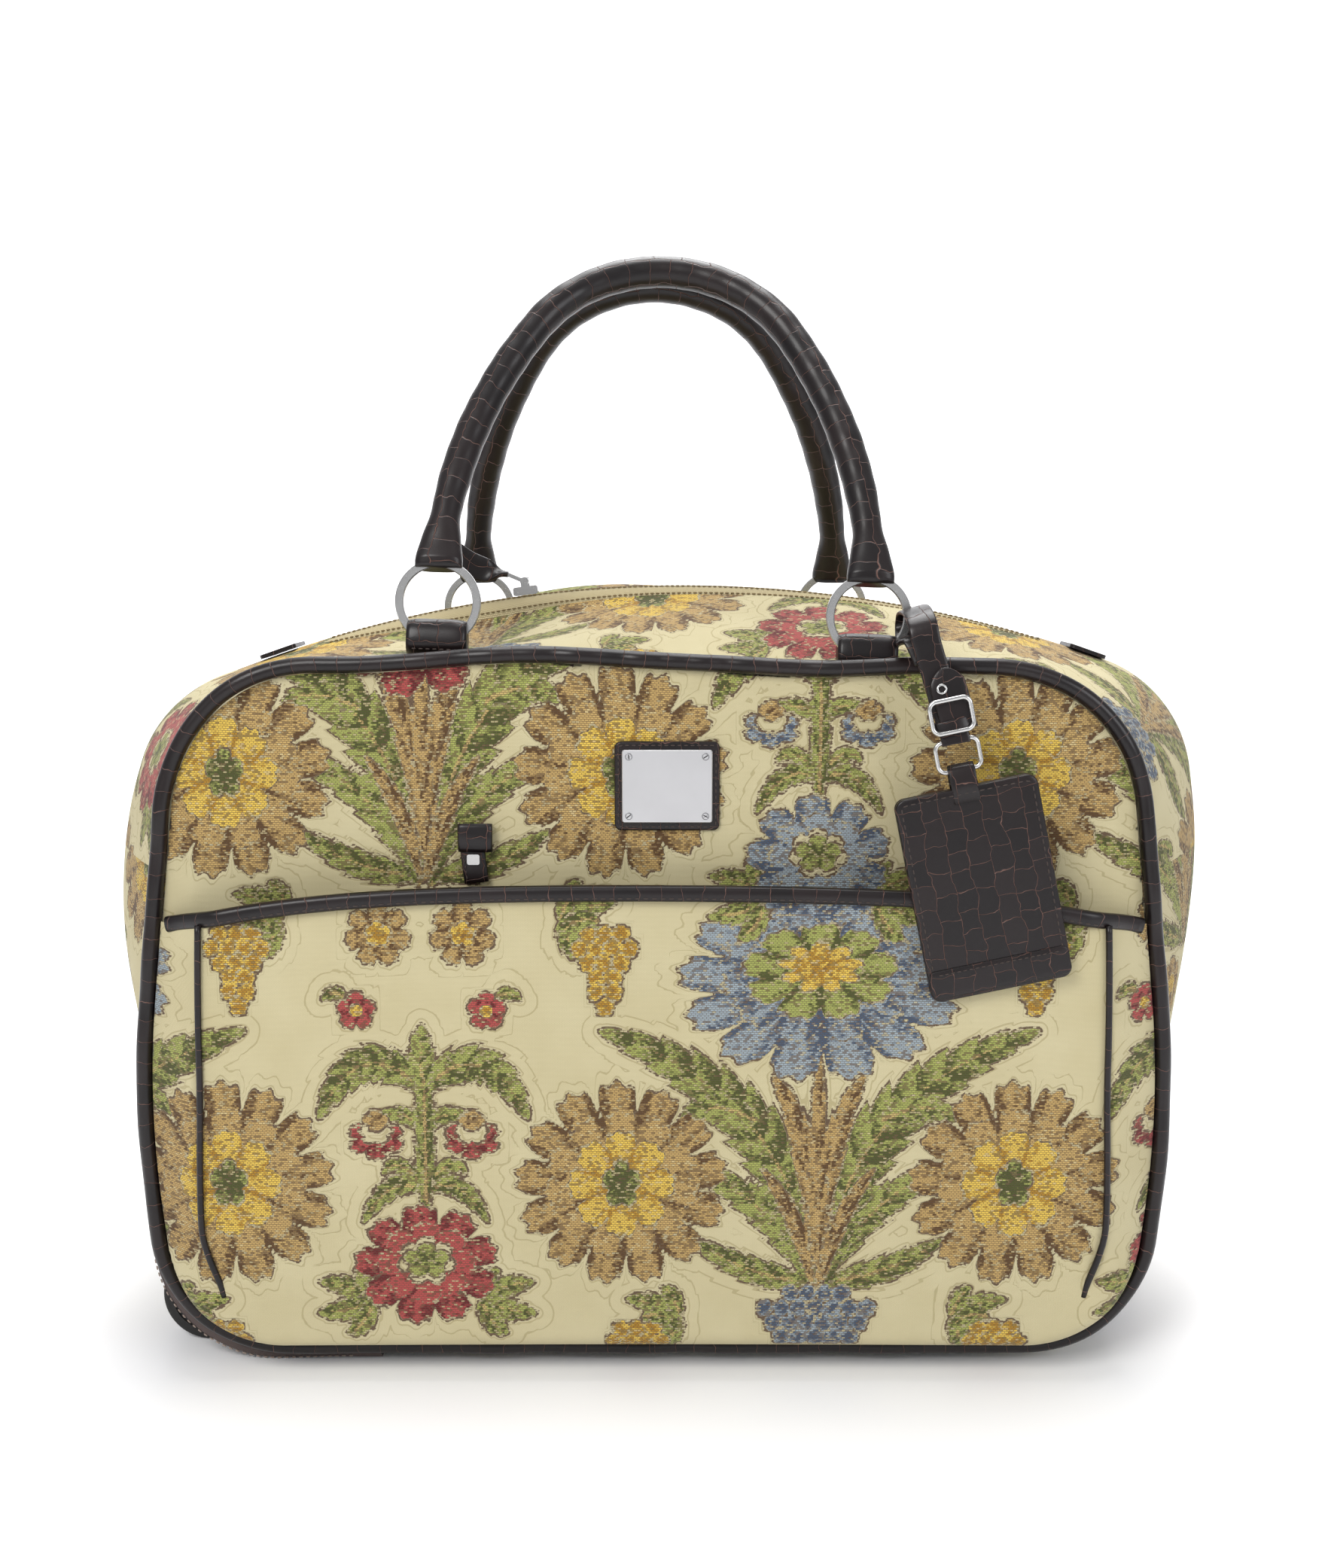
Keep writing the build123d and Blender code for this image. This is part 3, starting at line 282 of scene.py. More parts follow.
class Cloth:
    """The tapestry's drawing at a set of places on the cloth: a and b run across and up it, in mm.

    Each colour's field is how far inside its shapes a place lies, in mm. tone runs from the dark to
    the light thread of that colour, and rib marks the veins and stems that are woven in tan."""

    def __init__(self, a, b):
        self.a, self.b = a.ravel() * 1000, b.ravel() * 1000
        self.fields = {name: np.full(self.a.size, -9.0) for name in ("leaf", "brown", "yellow", "red", "blue")}
        self.tone = np.full(self.a.size, 0.5)
        self.rib = np.full(self.a.size, -9.0)

    def near(self, a, b, size):
        return np.nonzero((abs(self.a - a) < size) & (abs(self.b - b) < size))[0]

    def paint(self, pick, colour, inside, tone, rib=None, gap=0.7, seam=0.9):
        """Lays a shape over what is there, with a thin gap of ground round it."""
        inside = np.clip(inside, -9, 9)
        for name, field in self.fields.items():
            if name != colour:
                field[pick] = np.minimum(field[pick], -inside - gap)
        if colour in self.fields:
            under = np.minimum(self.fields[colour][pick], -inside - seam)
            self.fields[colour][pick] = np.maximum(under, inside)
        covered = inside > -1.2
        self.tone[pick] = np.where(covered, tone, self.tone[pick])
        lines = np.full(pick.size, -9.0) if rib is None else rib
        self.rib[pick] = np.where(covered, np.minimum(lines, inside), self.rib[pick])

    def disc(self, a, b, width, height, lobes, depth, colour, phase=0.0, light=0.5, hatch=0.35):
        """A flower ring or head: an oval whose edge is cut into rounded lobes."""
        pick = self.near(a, b, max(width, height) * 1.3)
        if pick.size:
            u, v = (self.a[pick] - a) / width, (self.b[pick] - b) / height
            turn, distance = np.arctan2(u, v), np.hypot(u, v)
            petal = abs(np.cos(lobes * turn / 2 + phase))
            slit = np.exp(-(petal / 0.16) ** 2) * 0.20 * ramp(distance, 0.45, 0.75)
            edge = 1 - depth * (1 - petal ** 0.6) - slit - 0.03 * np.sin(3.1 * lobes * turn)
            strokes = np.sin(lobes * turn * 3 + phase * 6 + 4 * distance)
            tone = light + hatch * (1.6 * petal - 0.9) + 0.5 * (distance - 0.7) + 0.16 * strokes
            self.paint(pick, colour, (edge - distance) * min(width, height), tone)

    def leaf(self, base, bend, tip, width, colour="leaf", lobes=9, light=0.5):
        """A leaf along a curved spine, feathered into slanting lobes, with a woven midrib."""
        ends = np.array([base, bend, tip], float)
        pick = self.near(*ends.mean(axis=0), np.ptp(ends, axis=0).max() * 0.75 + width)
        if not pick.size:
            return
        here = np.stack([self.a[pick], self.b[pick]], axis=1)
        steps = np.linspace(0, 1, 28)
        spine = ((1 - steps)[:, None] ** 2 * ends[0] + 2 * (steps * (1 - steps))[:, None] * ends[1]
                 + steps[:, None] ** 2 * ends[2])
        best, along, off = np.full(pick.size, 1e9), np.zeros(pick.size), np.zeros(pick.size)
        for k in range(len(steps) - 1):
            run = spine[k + 1] - spine[k]
            part = np.clip(((here - spine[k]) @ run) / (run @ run), 0, 1)
            gap = here - spine[k] - part[:, None] * run
            far = np.hypot(*gap.T)
            closer = far < best
            best = np.where(closer, far, best)
            along = np.where(closer, steps[k] + part * (steps[1] - steps[0]), along)
            off = np.where(closer, np.sign(run[0] * gap[:, 1] - run[1] * gap[:, 0]) * far, off)
        slant = (along * lobes - best / width * 1.6) % 1
        body = width / 2 * (np.sin(pi * np.clip(along, 0, 1) ** 0.85) ** 0.65 + 0.06)
        edge = body * (0.60 + 0.46 * np.sqrt(np.clip(slant, 0, 1)))
        tone = light + 0.14 * np.sign(off) + 0.85 * (slant - 0.5)
        rib = np.where(along < 0.9, 0.75 * (1 - along) + 0.25 - best, -9.0)
        self.paint(pick, colour, np.minimum(edge - best, 9), tone, rib, seam=0.5)

    def cluster(self, a, b, rows, size, colour):
        """Grapes or berries: round heads in rows that narrow downwards."""
        for row, count in enumerate(rows):
            for k in range(count):
                across = a + (k - (count - 1) / 2) * size * 1.75
                self.disc(across, b - row * size * 1.6, size, size, 5, 0.16, colour, light=0.45, hatch=0.15)

    def spray(self, a, b, side):
        """A tuft of three small leaves that spreads outwards."""
        for across, rise, width in ((26, 9, 11), (27, -7, 11), (13, -17, 10), (9, 15, 8)):
            self.leaf((a, b), (a + side * across * 0.4, b + rise * 0.9), (a + side * across, b + rise), width,
                      lobes=4, light=0.6)

    def column(self, a, b, accent):
        """One repeat of the drawing: a fan of leaves, the flowers above and below it and its hanging buds."""
        for side in (-1, 1):
            self.leaf((a + side * 2, b - 148), (a + side * 16, b - 138), (a + side * 30, b - 164), 10, lobes=4)
            self.leaf((a, b - 146), (a + side * 14, b - 128), (a + side * 20, b - 140), 7, lobes=3, light=0.65)
            self.leaf((a, b - 98), (a + side * 30, b - 66), (a + side * 50, b - 112), 18, lobes=6)
            self.leaf((a, b - 118), (a + side * 8, b - 106), (a + side * 24, b - 112), 8, lobes=3, light=0.6)
            self.spray(a + side * 26, b - 204, side)
            self.spray(a + side * 66, b - 16, side)
        self.leaf((a, b - 160), (a + 1, b - 110), (a, b - 70), 9, lobes=5)
        self.leaf((a, b - 96), (a - 1, b - 80), (a, b - 66), 12, lobes=3, light=0.7)
        for side in (-1, 1):
            self.leaf((a + side * 2, b + 2), (a + side * 34, b + 4), (a + side * 60, b + 24), 13, lobes=5)
            self.leaf((a + side * 2, b + 2), (a + side * 24, b + 50), (a + side * 68, b + 62), 15, lobes=6,
                      light=0.6)
            self.leaf((a + side * 3, b - 2), (a + side * 8, b + 96), (a + side * 104, b + 128), 27, lobes=11)
            self.leaf((a + side * 30, b + 84), (a + side * 52, b + 96), (a + side * 66, b + 84), 13, lobes=4,
                      light=0.65)
            self.leaf((a + side * 2, b + 26), (a + side * 5, b + 84), (a + side * 22, b + 106), 11, "brown",
                      lobes=4, light=0.55)
            self.leaf((a + side, b), (a + side * 9, b + 38), (a + side * 27, b + 60), 8, "brown", lobes=4,
                      light=0.45)
        self.leaf((a, b + 10), (a, b + 60), (a, b + 116), 9, "brown", lobes=4, light=0.65)
        for side in (-1, 1):
            self.disc(a + side * 94.5, b + 52, 50, 50, 13, 0.17, "brown", phase=0.3, light=0.36, hatch=0.5)
            self.disc(a + side * 94.5, b + 52, 36, 36, 11, 0.16, "brown", light=0.72, hatch=0.5)
            self.disc(a + side * 94.5, b + 52, 25, 26, 8, 0.15, "yellow", light=0.62)
            self.disc(a + side * 94.5, b + 52, 9, 12, 5, 0.3, "leaf", light=0.25)
            self.cluster(a + side * 87, b - 22, (3, 4, 3, 2, 2, 1), 4.4, "yellow")
            self.leaf((a + side * 84, b - 16), (a + side * 74, b - 12), (a + side * 66, b - 22), 9, lobes=3)
            self.disc(a + side * 31, b - 59, 9, 9, 5, 0.22, accent, light=0.6)
            self.disc(a + side * 31, b - 59, 3, 3, 4, 0.1, "yellow")
            self.leaf((a + side * 36, b - 52), (a + side * 42, b - 48), (a + side * 47, b - 54), 6, lobes=2)
            self.disc(a + side * 23, b - 122, 13, 10, 6, 0.22, accent, light=0.35)
            self.disc(a + side * 23, b - 119, 8, 6, 5, 0.2, "ground")
            self.disc(a + side * 23, b - 113, 6, 5, 4, 0.2, "brown", light=0.7)
        if accent == "blue":
            self.disc(a, b + 152, 66, 48, 13, 0.19, accent, phase=0.2, light=0.5, hatch=0.45)
            self.disc(a, b + 155, 46, 32, 11, 0.16, accent, light=0.30, hatch=0.45)
            self.disc(a, b + 157, 36, 23, 9, 0.14, "leaf", light=0.55, hatch=0.5)
            self.disc(a, b + 159, 20, 12, 9, 0.4, "yellow", light=0.55)
        else:
            self.disc(a, b + 122, 40, 34, 9, 0.22, accent, phase=0.25, light=0.3, hatch=0.4)
            self.disc(a, b + 126, 26, 22, 7, 0.2, accent, light=0.75, hatch=0.3)
        self.disc(a, b - 186, 34, 30, 9, 0.18, accent, phase=0.5, light=0.3, hatch=0.4)
        self.disc(a, b - 185, 23, 20, 8, 0.16, accent, light=0.85, hatch=0.2)
        self.disc(a, b - 184, 14, 12, 7, 0.2, "ground")
        self.disc(a, b - 184, 11, 9, 5, 0.35, "leaf", light=0.6)
        if accent == "blue":
            self.cluster(a, b - 4, (4, 7, 6, 5), 4.7, "blue")
        else:
            for side in (-1, 1):
                self.disc(a + side * 20, b - 22, 15, 15, 7, 0.2, "brown", light=0.55)
                self.disc(a + side * 20, b - 22, 6, 6, 5, 0.25, "yellow", light=0.5)

    def draw(self, shift=(0.0, 0.0)):
        """Half-drop repeat: red and blue columns, each a full repeat apart and half a repeat lower."""
        repeat_a, repeat_b = 378.0, 394.0
        for accent, a, b in (("red", -110.0, 247.0), ("blue", 79.0, 50.0)):
            first, last = self.a.min() - 190, self.a.max() + 190
            low, high = self.b.min() - 210, self.b.max() + 230
            a, b = a + shift[0] * 1000, b + shift[1] * 1000
            for across in range(-4, 5):
                for up in range(-4, 5):
                    centre = (a + across * repeat_a, b + up * repeat_b)
                    if first < centre[0] < last and low < centre[1] < high:
                        self.column(*centre, accent)


def weave_effect():
    """Shader group: threads of a coarse plain weave, laid like bricks in rows."""
    group = bpy.data.node_groups.new("woven threads", "ShaderNodeTree")
    for name, kind in (("Cloth", "NodeSocketVector"), ("Thread Width", "NodeSocketFloat"),
                       ("Thread Height", "NodeSocketFloat")):
        group.interface.new_socket(name, in_out="INPUT", socket_type=kind)
    for name in ("Thread", "Gap", "Height"):
        group.interface.new_socket(name, in_out="OUTPUT", socket_type="NodeSocketFloat")
    inner = put(group, "NodeGroupInput").outputs
    outer = put(group, "NodeGroupOutput")
    stir = put(group, "ShaderNodeTexNoise", Vector=inner["Cloth"], Scale=0.35, Detail=2.0)
    moved = put(group, "ShaderNodeVectorMath", {"operation": "MULTIPLY_ADD"})
    group.links.new(stir.outputs["Color"], moved.inputs[0])
    moved.inputs[1].default_value = (0.35, 0.35, 0.0)
    group.links.new(inner["Cloth"], moved.inputs[2])
    bricks = put(group, "ShaderNodeTexBrick", {"offset": 0.5}, Vector=moved.outputs[0], Color1=(0, 0, 0, 1),
                 Color2=(1, 1, 1, 1), Mortar=(0.5, 0.5, 0.5, 1), Scale=1.0, Mortar_Size=0.13,
                 Mortar_Smooth=0.6, Brick_Width=inner["Thread Width"], Row_Height=inner["Thread Height"])
    group.links.new(bricks.outputs["Color"], outer.inputs["Thread"])
    group.links.new(bricks.outputs["Fac"], outer.inputs["Gap"])
    group.links.new(figure(group, "SUBTRACT", 1.0, bricks.outputs["Fac"]), outer.inputs["Height"])
    return group


threads = weave_effect()
tapestry, tree, shader = finish_named("tapestry_cloth", Roughness=0.86, Sheen_Weight=0.12, Sheen_Roughness=0.5,
                                      Specular_IOR_Level=0.25)
cloth_map = put(tree, "ShaderNodeUVMap", {"uv_map": "cloth"}).outputs["UV"]
in_mm = put(tree, "ShaderNodeVectorMath", {"operation": "SCALE"}, Scale=1000.0)
tree.links.new(cloth_map, in_mm.inputs[0])


def woven(width, height):
    return put(tree, "ShaderNodeGroup", {"node_tree": threads}, Cloth=in_mm.outputs[0], Thread_Width=width,
               Thread_Height=height).outputs


coarse, fine = woven(1.75, 0.95), woven(1.3, 0.42)
jitter = figure(tree, "MULTIPLY_ADD", coarse["Thread"], 1.3, -0.65)


def field(name):
    return put(tree, "ShaderNodeAttribute", {"attribute_name": name}).outputs["Fac"]


def woven_edge(value, sharp=2.2):
    """A shape's field made into a mask whose edge steps from thread to thread."""
    return figure(tree, "MULTIPLY_ADD", figure(tree, "ADD", value, jitter), sharp, 0.5, clamp=True)


tone = figure(tree, "MULTIPLY_ADD", coarse["Thread"], 0.75, figure(tree, "ADD", field("tone"), -0.375))
tone = figure(tree, "MULTIPLY_ADD", figure(tree, "SUBTRACT", tone, 0.5), 3.0, 0.5, clamp=True)
cloud = put(tree, "ShaderNodeTexNoise", Vector=in_mm.outputs[0], Scale=0.03, Detail=3.0).outputs["Fac"]
ground = tint(tree, cloud, shade(198, 186, 144), shade(218, 208, 170))
# Painted shade: the ground's cream is darkened in the gaps between its threads.
ground = tint(tree, figure(tree, "MULTIPLY", fine["Gap"], 0.35), ground, shade(150, 138, 98))
cover = None
colour = ground
yarns = {"leaf": (shade(68, 75, 34), shade(150, 156, 84)), "brown": (shade(84, 60, 34), shade(176, 147, 92)),
         "red": (shade(94, 26, 32), shade(166, 72, 70)), "blue": (shade(64, 79, 98), shade(142, 154, 160)),
         "yellow": (shade(158, 118, 38), shade(208, 176, 78))}
for name, (dark, light) in yarns.items():
    inside = field(name)
    cover = inside if cover is None else figure(tree, "MAXIMUM", cover, inside)
    colour = tint(tree, woven_edge(inside), colour, tint(tree, tone, dark, light))
rib = woven_edge(field("rib"))
colour = tint(tree, figure(tree, "MULTIPLY", rib, 0.8), colour, shade(186, 158, 104))
on_shape = woven_edge(cover)
around_shape = figure(tree, "SUBTRACT", woven_edge(figure(tree, "ADD", cover, 1.25)), on_shape, clamp=True)
dashes = figure(tree, "GREATER_THAN", coarse["Thread"], 0.30)
around_shape = figure(tree, "MULTIPLY", around_shape, figure(tree, "MULTIPLY_ADD", dashes, 0.75, 0.2))
colour = tint(tree, around_shape, colour, shade(88, 66, 50))
warp_shows = figure(tree, "MULTIPLY", figure(tree, "MULTIPLY", coarse["Gap"], 0.85), on_shape)
colour = tint(tree, warp_shows, colour, shade(84, 64, 46))
flecks = figure(tree, "MULTIPLY", figure(tree, "GREATER_THAN", coarse["Thread"], 0.84), on_shape)
colour = tint(tree, figure(tree, "MULTIPLY", flecks, 0.7), colour, shade(90, 70, 52))
pale_picks = figure(tree, "MULTIPLY", figure(tree, "LESS_THAN", coarse["Thread"], 0.10), on_shape)
colour = tint(tree, figure(tree, "MULTIPLY", pale_picks, 0.55), colour, shade(196, 182, 138))
# Quilted lines: sunk by the bump below and darkened in colour, as painted shade in their puckered grooves.
quilting = figure(tree, "SINE", figure(tree, "MULTIPLY_ADD", cloud, 9.0, figure(tree, "MULTIPLY", cover, 1.15)))
near_shape = figure(tree, "MULTIPLY", figure(tree, "LESS_THAN", cover, -1.2),
                    figure(tree, "GREATER_THAN", cover, -8.5))
quilting = figure(tree, "MULTIPLY", figure(tree, "GREATER_THAN", quilting, 0.9), near_shape)
colour = tint(tree, figure(tree, "MULTIPLY", quilting, 0.5), colour, shade(158, 143, 98))
tree.links.new(colour, shader.inputs["Base Color"])
threads_up = tint(tree, on_shape, fine["Height"], coarse["Height"])
puffed = figure(tree, "MULTIPLY_ADD", figure(tree, "MULTIPLY", cover, -0.35, clamp=True), 1.6, threads_up)
puffed = figure(tree, "SUBTRACT", puffed, figure(tree, "MULTIPLY", quilting, 0.8))
bump(tree, shader, puffed, 0.00045, 0.75)


def cloth_piece(name, x, y, z, a, b, keep=None, shift=(0, 0), flip=False):
    """A sheet of tapestry over a grid of points, with the drawing woven in at cloth places a, b."""
    rows, columns = x.shape
    index = np.arange(rows * columns).reshape(rows, columns)
    quads = np.stack([index[:-1, :-1], index[:-1, 1:], index[1:, 1:], index[1:, :-1]], axis=-1).reshape(-1, 4)
    if flip:
        quads = quads[:, ::-1]
    if keep is not None:
        quads = quads[keep.ravel()[quads].all(axis=1)]
    used = np.unique(quads)
    renumber = np.zeros(x.size, int)
    renumber[used] = np.arange(used.size)
    points = np.stack([x.ravel(), y.ravel(), z.ravel()], axis=1)[used]
    piece = mesh_piece(name, points, renumber[quads], "bag")
    drawing = Cloth(a, b)
    drawing.draw(shift)
    for title, values in list(drawing.fields.items()) + [("tone", drawing.tone), ("rib", drawing.rib)]:
        layer = piece.data.attributes.new(title, "FLOAT", "POINT")
        layer.data.foreach_set("value", np.asarray(values, np.float32)[used])
    layer = piece.data.uv_layers.new(name="cloth")
    corners = np.zeros(len(piece.data.loops), int)
    piece.data.loops.foreach_get("vertex_index", corners)
    places = np.stack([a.ravel()[used][corners], b.ravel()[used][corners]], axis=1)
    layer.data.foreach_set("uv", places.astype(np.float32).ravel())
    piece.data.materials.append(tapestry)
    return piece


def trimmed(which, x, z, cell):
    """Grid places cut to an outline: places just outside it move onto it, and the rest are dropped."""
    turns, far = np.arctan2(x, z - side_seam), np.hypot(x, z - side_seam)
    edge = reach(which, turns)
    keep = far < edge + 1.5 * cell
    held = np.minimum(far, edge)
    inside = edge - held
    return held * np.sin(turns), side_seam + held * np.cos(turns), inside, keep


# ---- front and back panels: padded tapestry faces sewn to the gussets inside their pipings ----
# The front one shows above the pocket, and both dip towards the seam.
cell = 0.0015
x, z = np.meshgrid(np.arange(-0.249, 0.2495, cell), np.arange(bag_foot - cell, 0.3505, cell))
x, z, inside, keep = trimmed("front", x, z, cell)
padding = 0.0005 * (1 + ripple(x, x * 0, z, 2)) * ramp(inside, 0.006, 0.05)
y = -0.0931 + 0.0030 * (1 - ramp(inside, 0.0, 0.016)) + padding
upper = keep & (z > 0.2200)
front_panel = cloth_piece("front_panel_cloth", x, y, settle(x, y, z), x, z, keep=upper)
back_cell = 0.0019
x, z = np.meshgrid(np.arange(0.249, -0.2499, -back_cell), np.arange(bag_foot - back_cell, 0.3405, back_cell))
x, z, inside, keep = trimmed("back", x, z, back_cell)
y = 0.1172 - 0.0032 * (1 - ramp(inside, 0.0, 0.018)) + 0.0015 * ripple(x, x * 0, z, 9) * ramp(inside, 0.01, 0.06)
back_panel = cloth_piece("back_panel_cloth", x, y, z, -x, z, keep=keep, shift=(0.06, 0.03))
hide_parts("back_panel")

# Plain cloth behind the pocket closes the front panel down to the foot.
behind_cell = 0.008
x, z = np.meshgrid(np.arange(-0.249, 0.2495, behind_cell), np.arange(bag_foot - behind_cell, 0.2240, behind_cell))
x, z, inside, keep = trimmed("front", x, z, behind_cell)
cloth_piece("front_panel_lower", x, x * 0 - 0.0922, z, x, z, keep=keep)
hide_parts("front_panel")

# ---- front pocket: a tapestry panel with narrow side gussets, its mouth a soft uneven line ----
# It is puffed a little, and its foot is gathered into the front piping.
mouth_knots = [(-0.232, 0.2300), (-0.200, 0.2370), (-0.150, 0.2440), (-0.090, 0.2472), (-0.020, 0.2480),
               (0.050, 0.2480), (0.105, 0.2462), (0.150, 0.2430), (0.195, 0.2380), (0.234, 0.2290)]


def mouth_line(x):
    """Height of the pocket's mouth, a smooth line through a few knots."""
    knots = np.array(mouth_knots)
    wide = np.linspace(knots[0, 0], knots[-1, 0], 160)
    line = np.polyval(np.polyfit(knots[:, 0], knots[:, 1], 6), wide)
    return np.interp(x, wide, line)


def pocket_front(x, z, inside):
    """Depth of the pocket's outer face: bevelled sides, a rounded foot and a gentle swell."""
    at_side = ramp(abs(x), 0.150, 0.225) * ramp(z, 0.030, 0.080)
    width = 0.011 + 0.0150 * at_side
    rise = np.clip(inside / width, 0, 1)
    round_rise = np.sqrt(np.clip(1 - (1 - rise) ** 2, 0, 1))
    height = 0.018 * (rise ** 0.9 * at_side + round_rise * (1 - at_side))
    swell = 0.0016 * ramp(inside, 0.02, 0.10) * (1 - ramp(z, 0.19, 0.24))
    return -0.0930 - height - swell - 0.0006 * ripple(x, x * 0, z, 12) * ramp(inside, 0.02, 0.05)


x, lift = np.meshgrid(np.arange(-0.249, 0.2495, cell), np.linspace(0, 1, 152))
z = bag_foot - cell + lift * (mouth_line(x) - 0.003 - bag_foot + cell)
x, z, inside, keep = trimmed("front", x, z, cell)
pocket = cloth_piece("pocket_cloth", x, pocket_front(x, z, inside), z, x, z, keep=keep)
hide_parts("pocket_panel", "pocket_gusset")

# ---- gussets: two strips over the top either side of the zip, one long strip round ends and foot ----
# They are the widest part of the bag and sag between the pipings and the zip.
zip_front, zip_back = -0.002, 0.026


def even_turns(low, high, step):
    """Turns round the bag that are evenly spaced along the middle section's outline."""
    dense = np.linspace(low, high, 4000)
    radius = reach("middle", dense)
    points = np.stack([radius * np.sin(dense), radius * np.cos(dense)], axis=1)
    run = np.concatenate([[0], np.cumsum(np.hypot(*np.diff(points, axis=0).T))])
    count = int(ceil(run[-1] / step)) + 1
    even = np.linspace(0, run[-1], count)
    return np.interp(even, run, dense), even


def gusset(name, low, high, start, end, step, place, shift, opening=None):
    turns, run = even_turns(low, high, step)
    depths = np.linspace(start, end, int(ceil(abs(end - start) / step)) + 1)
    turn_grid, y = np.meshgrid(turns, depths)
    x, z = gusset_point(turn_grid, y)
    a, b = place(np.meshgrid(run, depths)[0], y)
    keep = None if opening is None else ~opening(x, y, z)
    return cloth_piece(name, x, y, z, a, b, keep=keep, shift=shift)


def tow_opening(x, y, z):
    """Where the tow handle's bezel stands in the cloth: the tubes slide out through it."""
    (x_low, y_low, _), (_, y_high, z_high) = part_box("tow_bezel")
    return (x > x_low + 0.002) & (y > y_low + 0.0015) & (y < y_high - 0.0015) & (z < z_high - 0.0016)


top_run = even_turns(-pi / 2, pi / 2, 0.002)[1][-1]
crest_run = top_run * 0.515
top_front = gusset("gusset_top_front_cloth", -pi / 2, pi / 2, front_y, zip_front, 0.0018,
                   lambda run, y: (run - crest_run, 0.345 + y - front_y), (0.185, -0.065))
top_back = gusset("gusset_top_back_cloth", -pi / 2, pi / 2, zip_back, back_y, 0.0022,
                  lambda run, y: (run - crest_run, 0.345 + y - front_y), (0.185, -0.065))
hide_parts("gusset_top_front")
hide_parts("gusset_top_back")
for side, (low, high) in {"left": (-pi / 2, -0.985), "right": (1.085, pi / 2)}.items():
    piece = gusset(f"zip_end_{side}_cloth", low, high, zip_front, zip_back, 0.0022,
                   lambda run, y: (run, 0.345 + y - front_y), (0.185, -0.065))
    if side == "left":
        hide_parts("zip_end_gussets")
for side, (low, high) in {"right": (pi / 2, pi), "left": (-pi, -pi / 2)}.items():
    length = even_turns(low, high, 0.002)[1][-1]
    height = (lambda run: 0.250 - run) if side == "right" else (lambda run, length=length: 0.250 - length + run)
    piece = gusset(f"gusset_{side}_cloth", low, high, front_y, back_y, 0.0022,
                   lambda run, y: (y, height(run)), (0.075 if side == "right" else -0.055, -0.045),
                   tow_opening if side == "right" else None)
    if side == "right":
        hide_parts("gusset_lower")

# The lining is a thin woven bag inside the padded shell, sewn in along the zip and the panels.
turns, depths = even_turns(-pi, pi, 0.012)[0], np.linspace(-0.082, 0.106, 18)
turn_grid, y = np.meshgrid(turns, depths)
x, z = gusset_point(turn_grid, y)
shrink = 0.93 - 0.05 * abs(y - middle_y) / 0.1
x, z = x * shrink, side_seam - 0.012 + (z - side_seam) * shrink
rows, columns = x.shape
faces = [(r * columns + c, r * columns + c + 1, (r + 1) * columns + c + 1, (r + 1) * columns + c)
         for r in range(rows - 1) for c in range(columns - 1)]
faces += [tuple(range(columns - 1)), tuple(reversed(range((rows - 1) * columns, rows * columns - 1)))]
lining = mesh_piece("lining_bag", np.stack([x.ravel(), y.ravel(), z.ravel()], axis=1), faces, "bag")
lining_cloth, tree, shader = finish_named("lining_cloth", Roughness=0.7)
place = put(tree, "ShaderNodeNewGeometry").outputs["Position"]
lining_mm = put(tree, "ShaderNodeVectorMath", {"operation": "SCALE"}, Scale=1000.0)
tree.links.new(place, lining_mm.inputs[0])
lining_weave = put(tree, "ShaderNodeGroup", {"node_tree": threads}, Cloth=lining_mm.outputs[0], Thread_Width=0.8,
                   Thread_Height=0.4).outputs
# Painted shade: the lining's brown is darkened in the gaps between its threads.
tree.links.new(tint(tree, lining_weave["Gap"], shade(92, 78, 58), shade(60, 50, 36)), shader.inputs["Base Color"])
bump(tree, shader, lining_weave["Height"], 0.0001)
lining.data.materials.append(lining_cloth)
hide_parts("lining")

# ---- piping: cord covered with croc-embossed leather, sewn round both panels ----
# The same dark leather trims the whole bag: its crease lines are paler, and its plates shine.


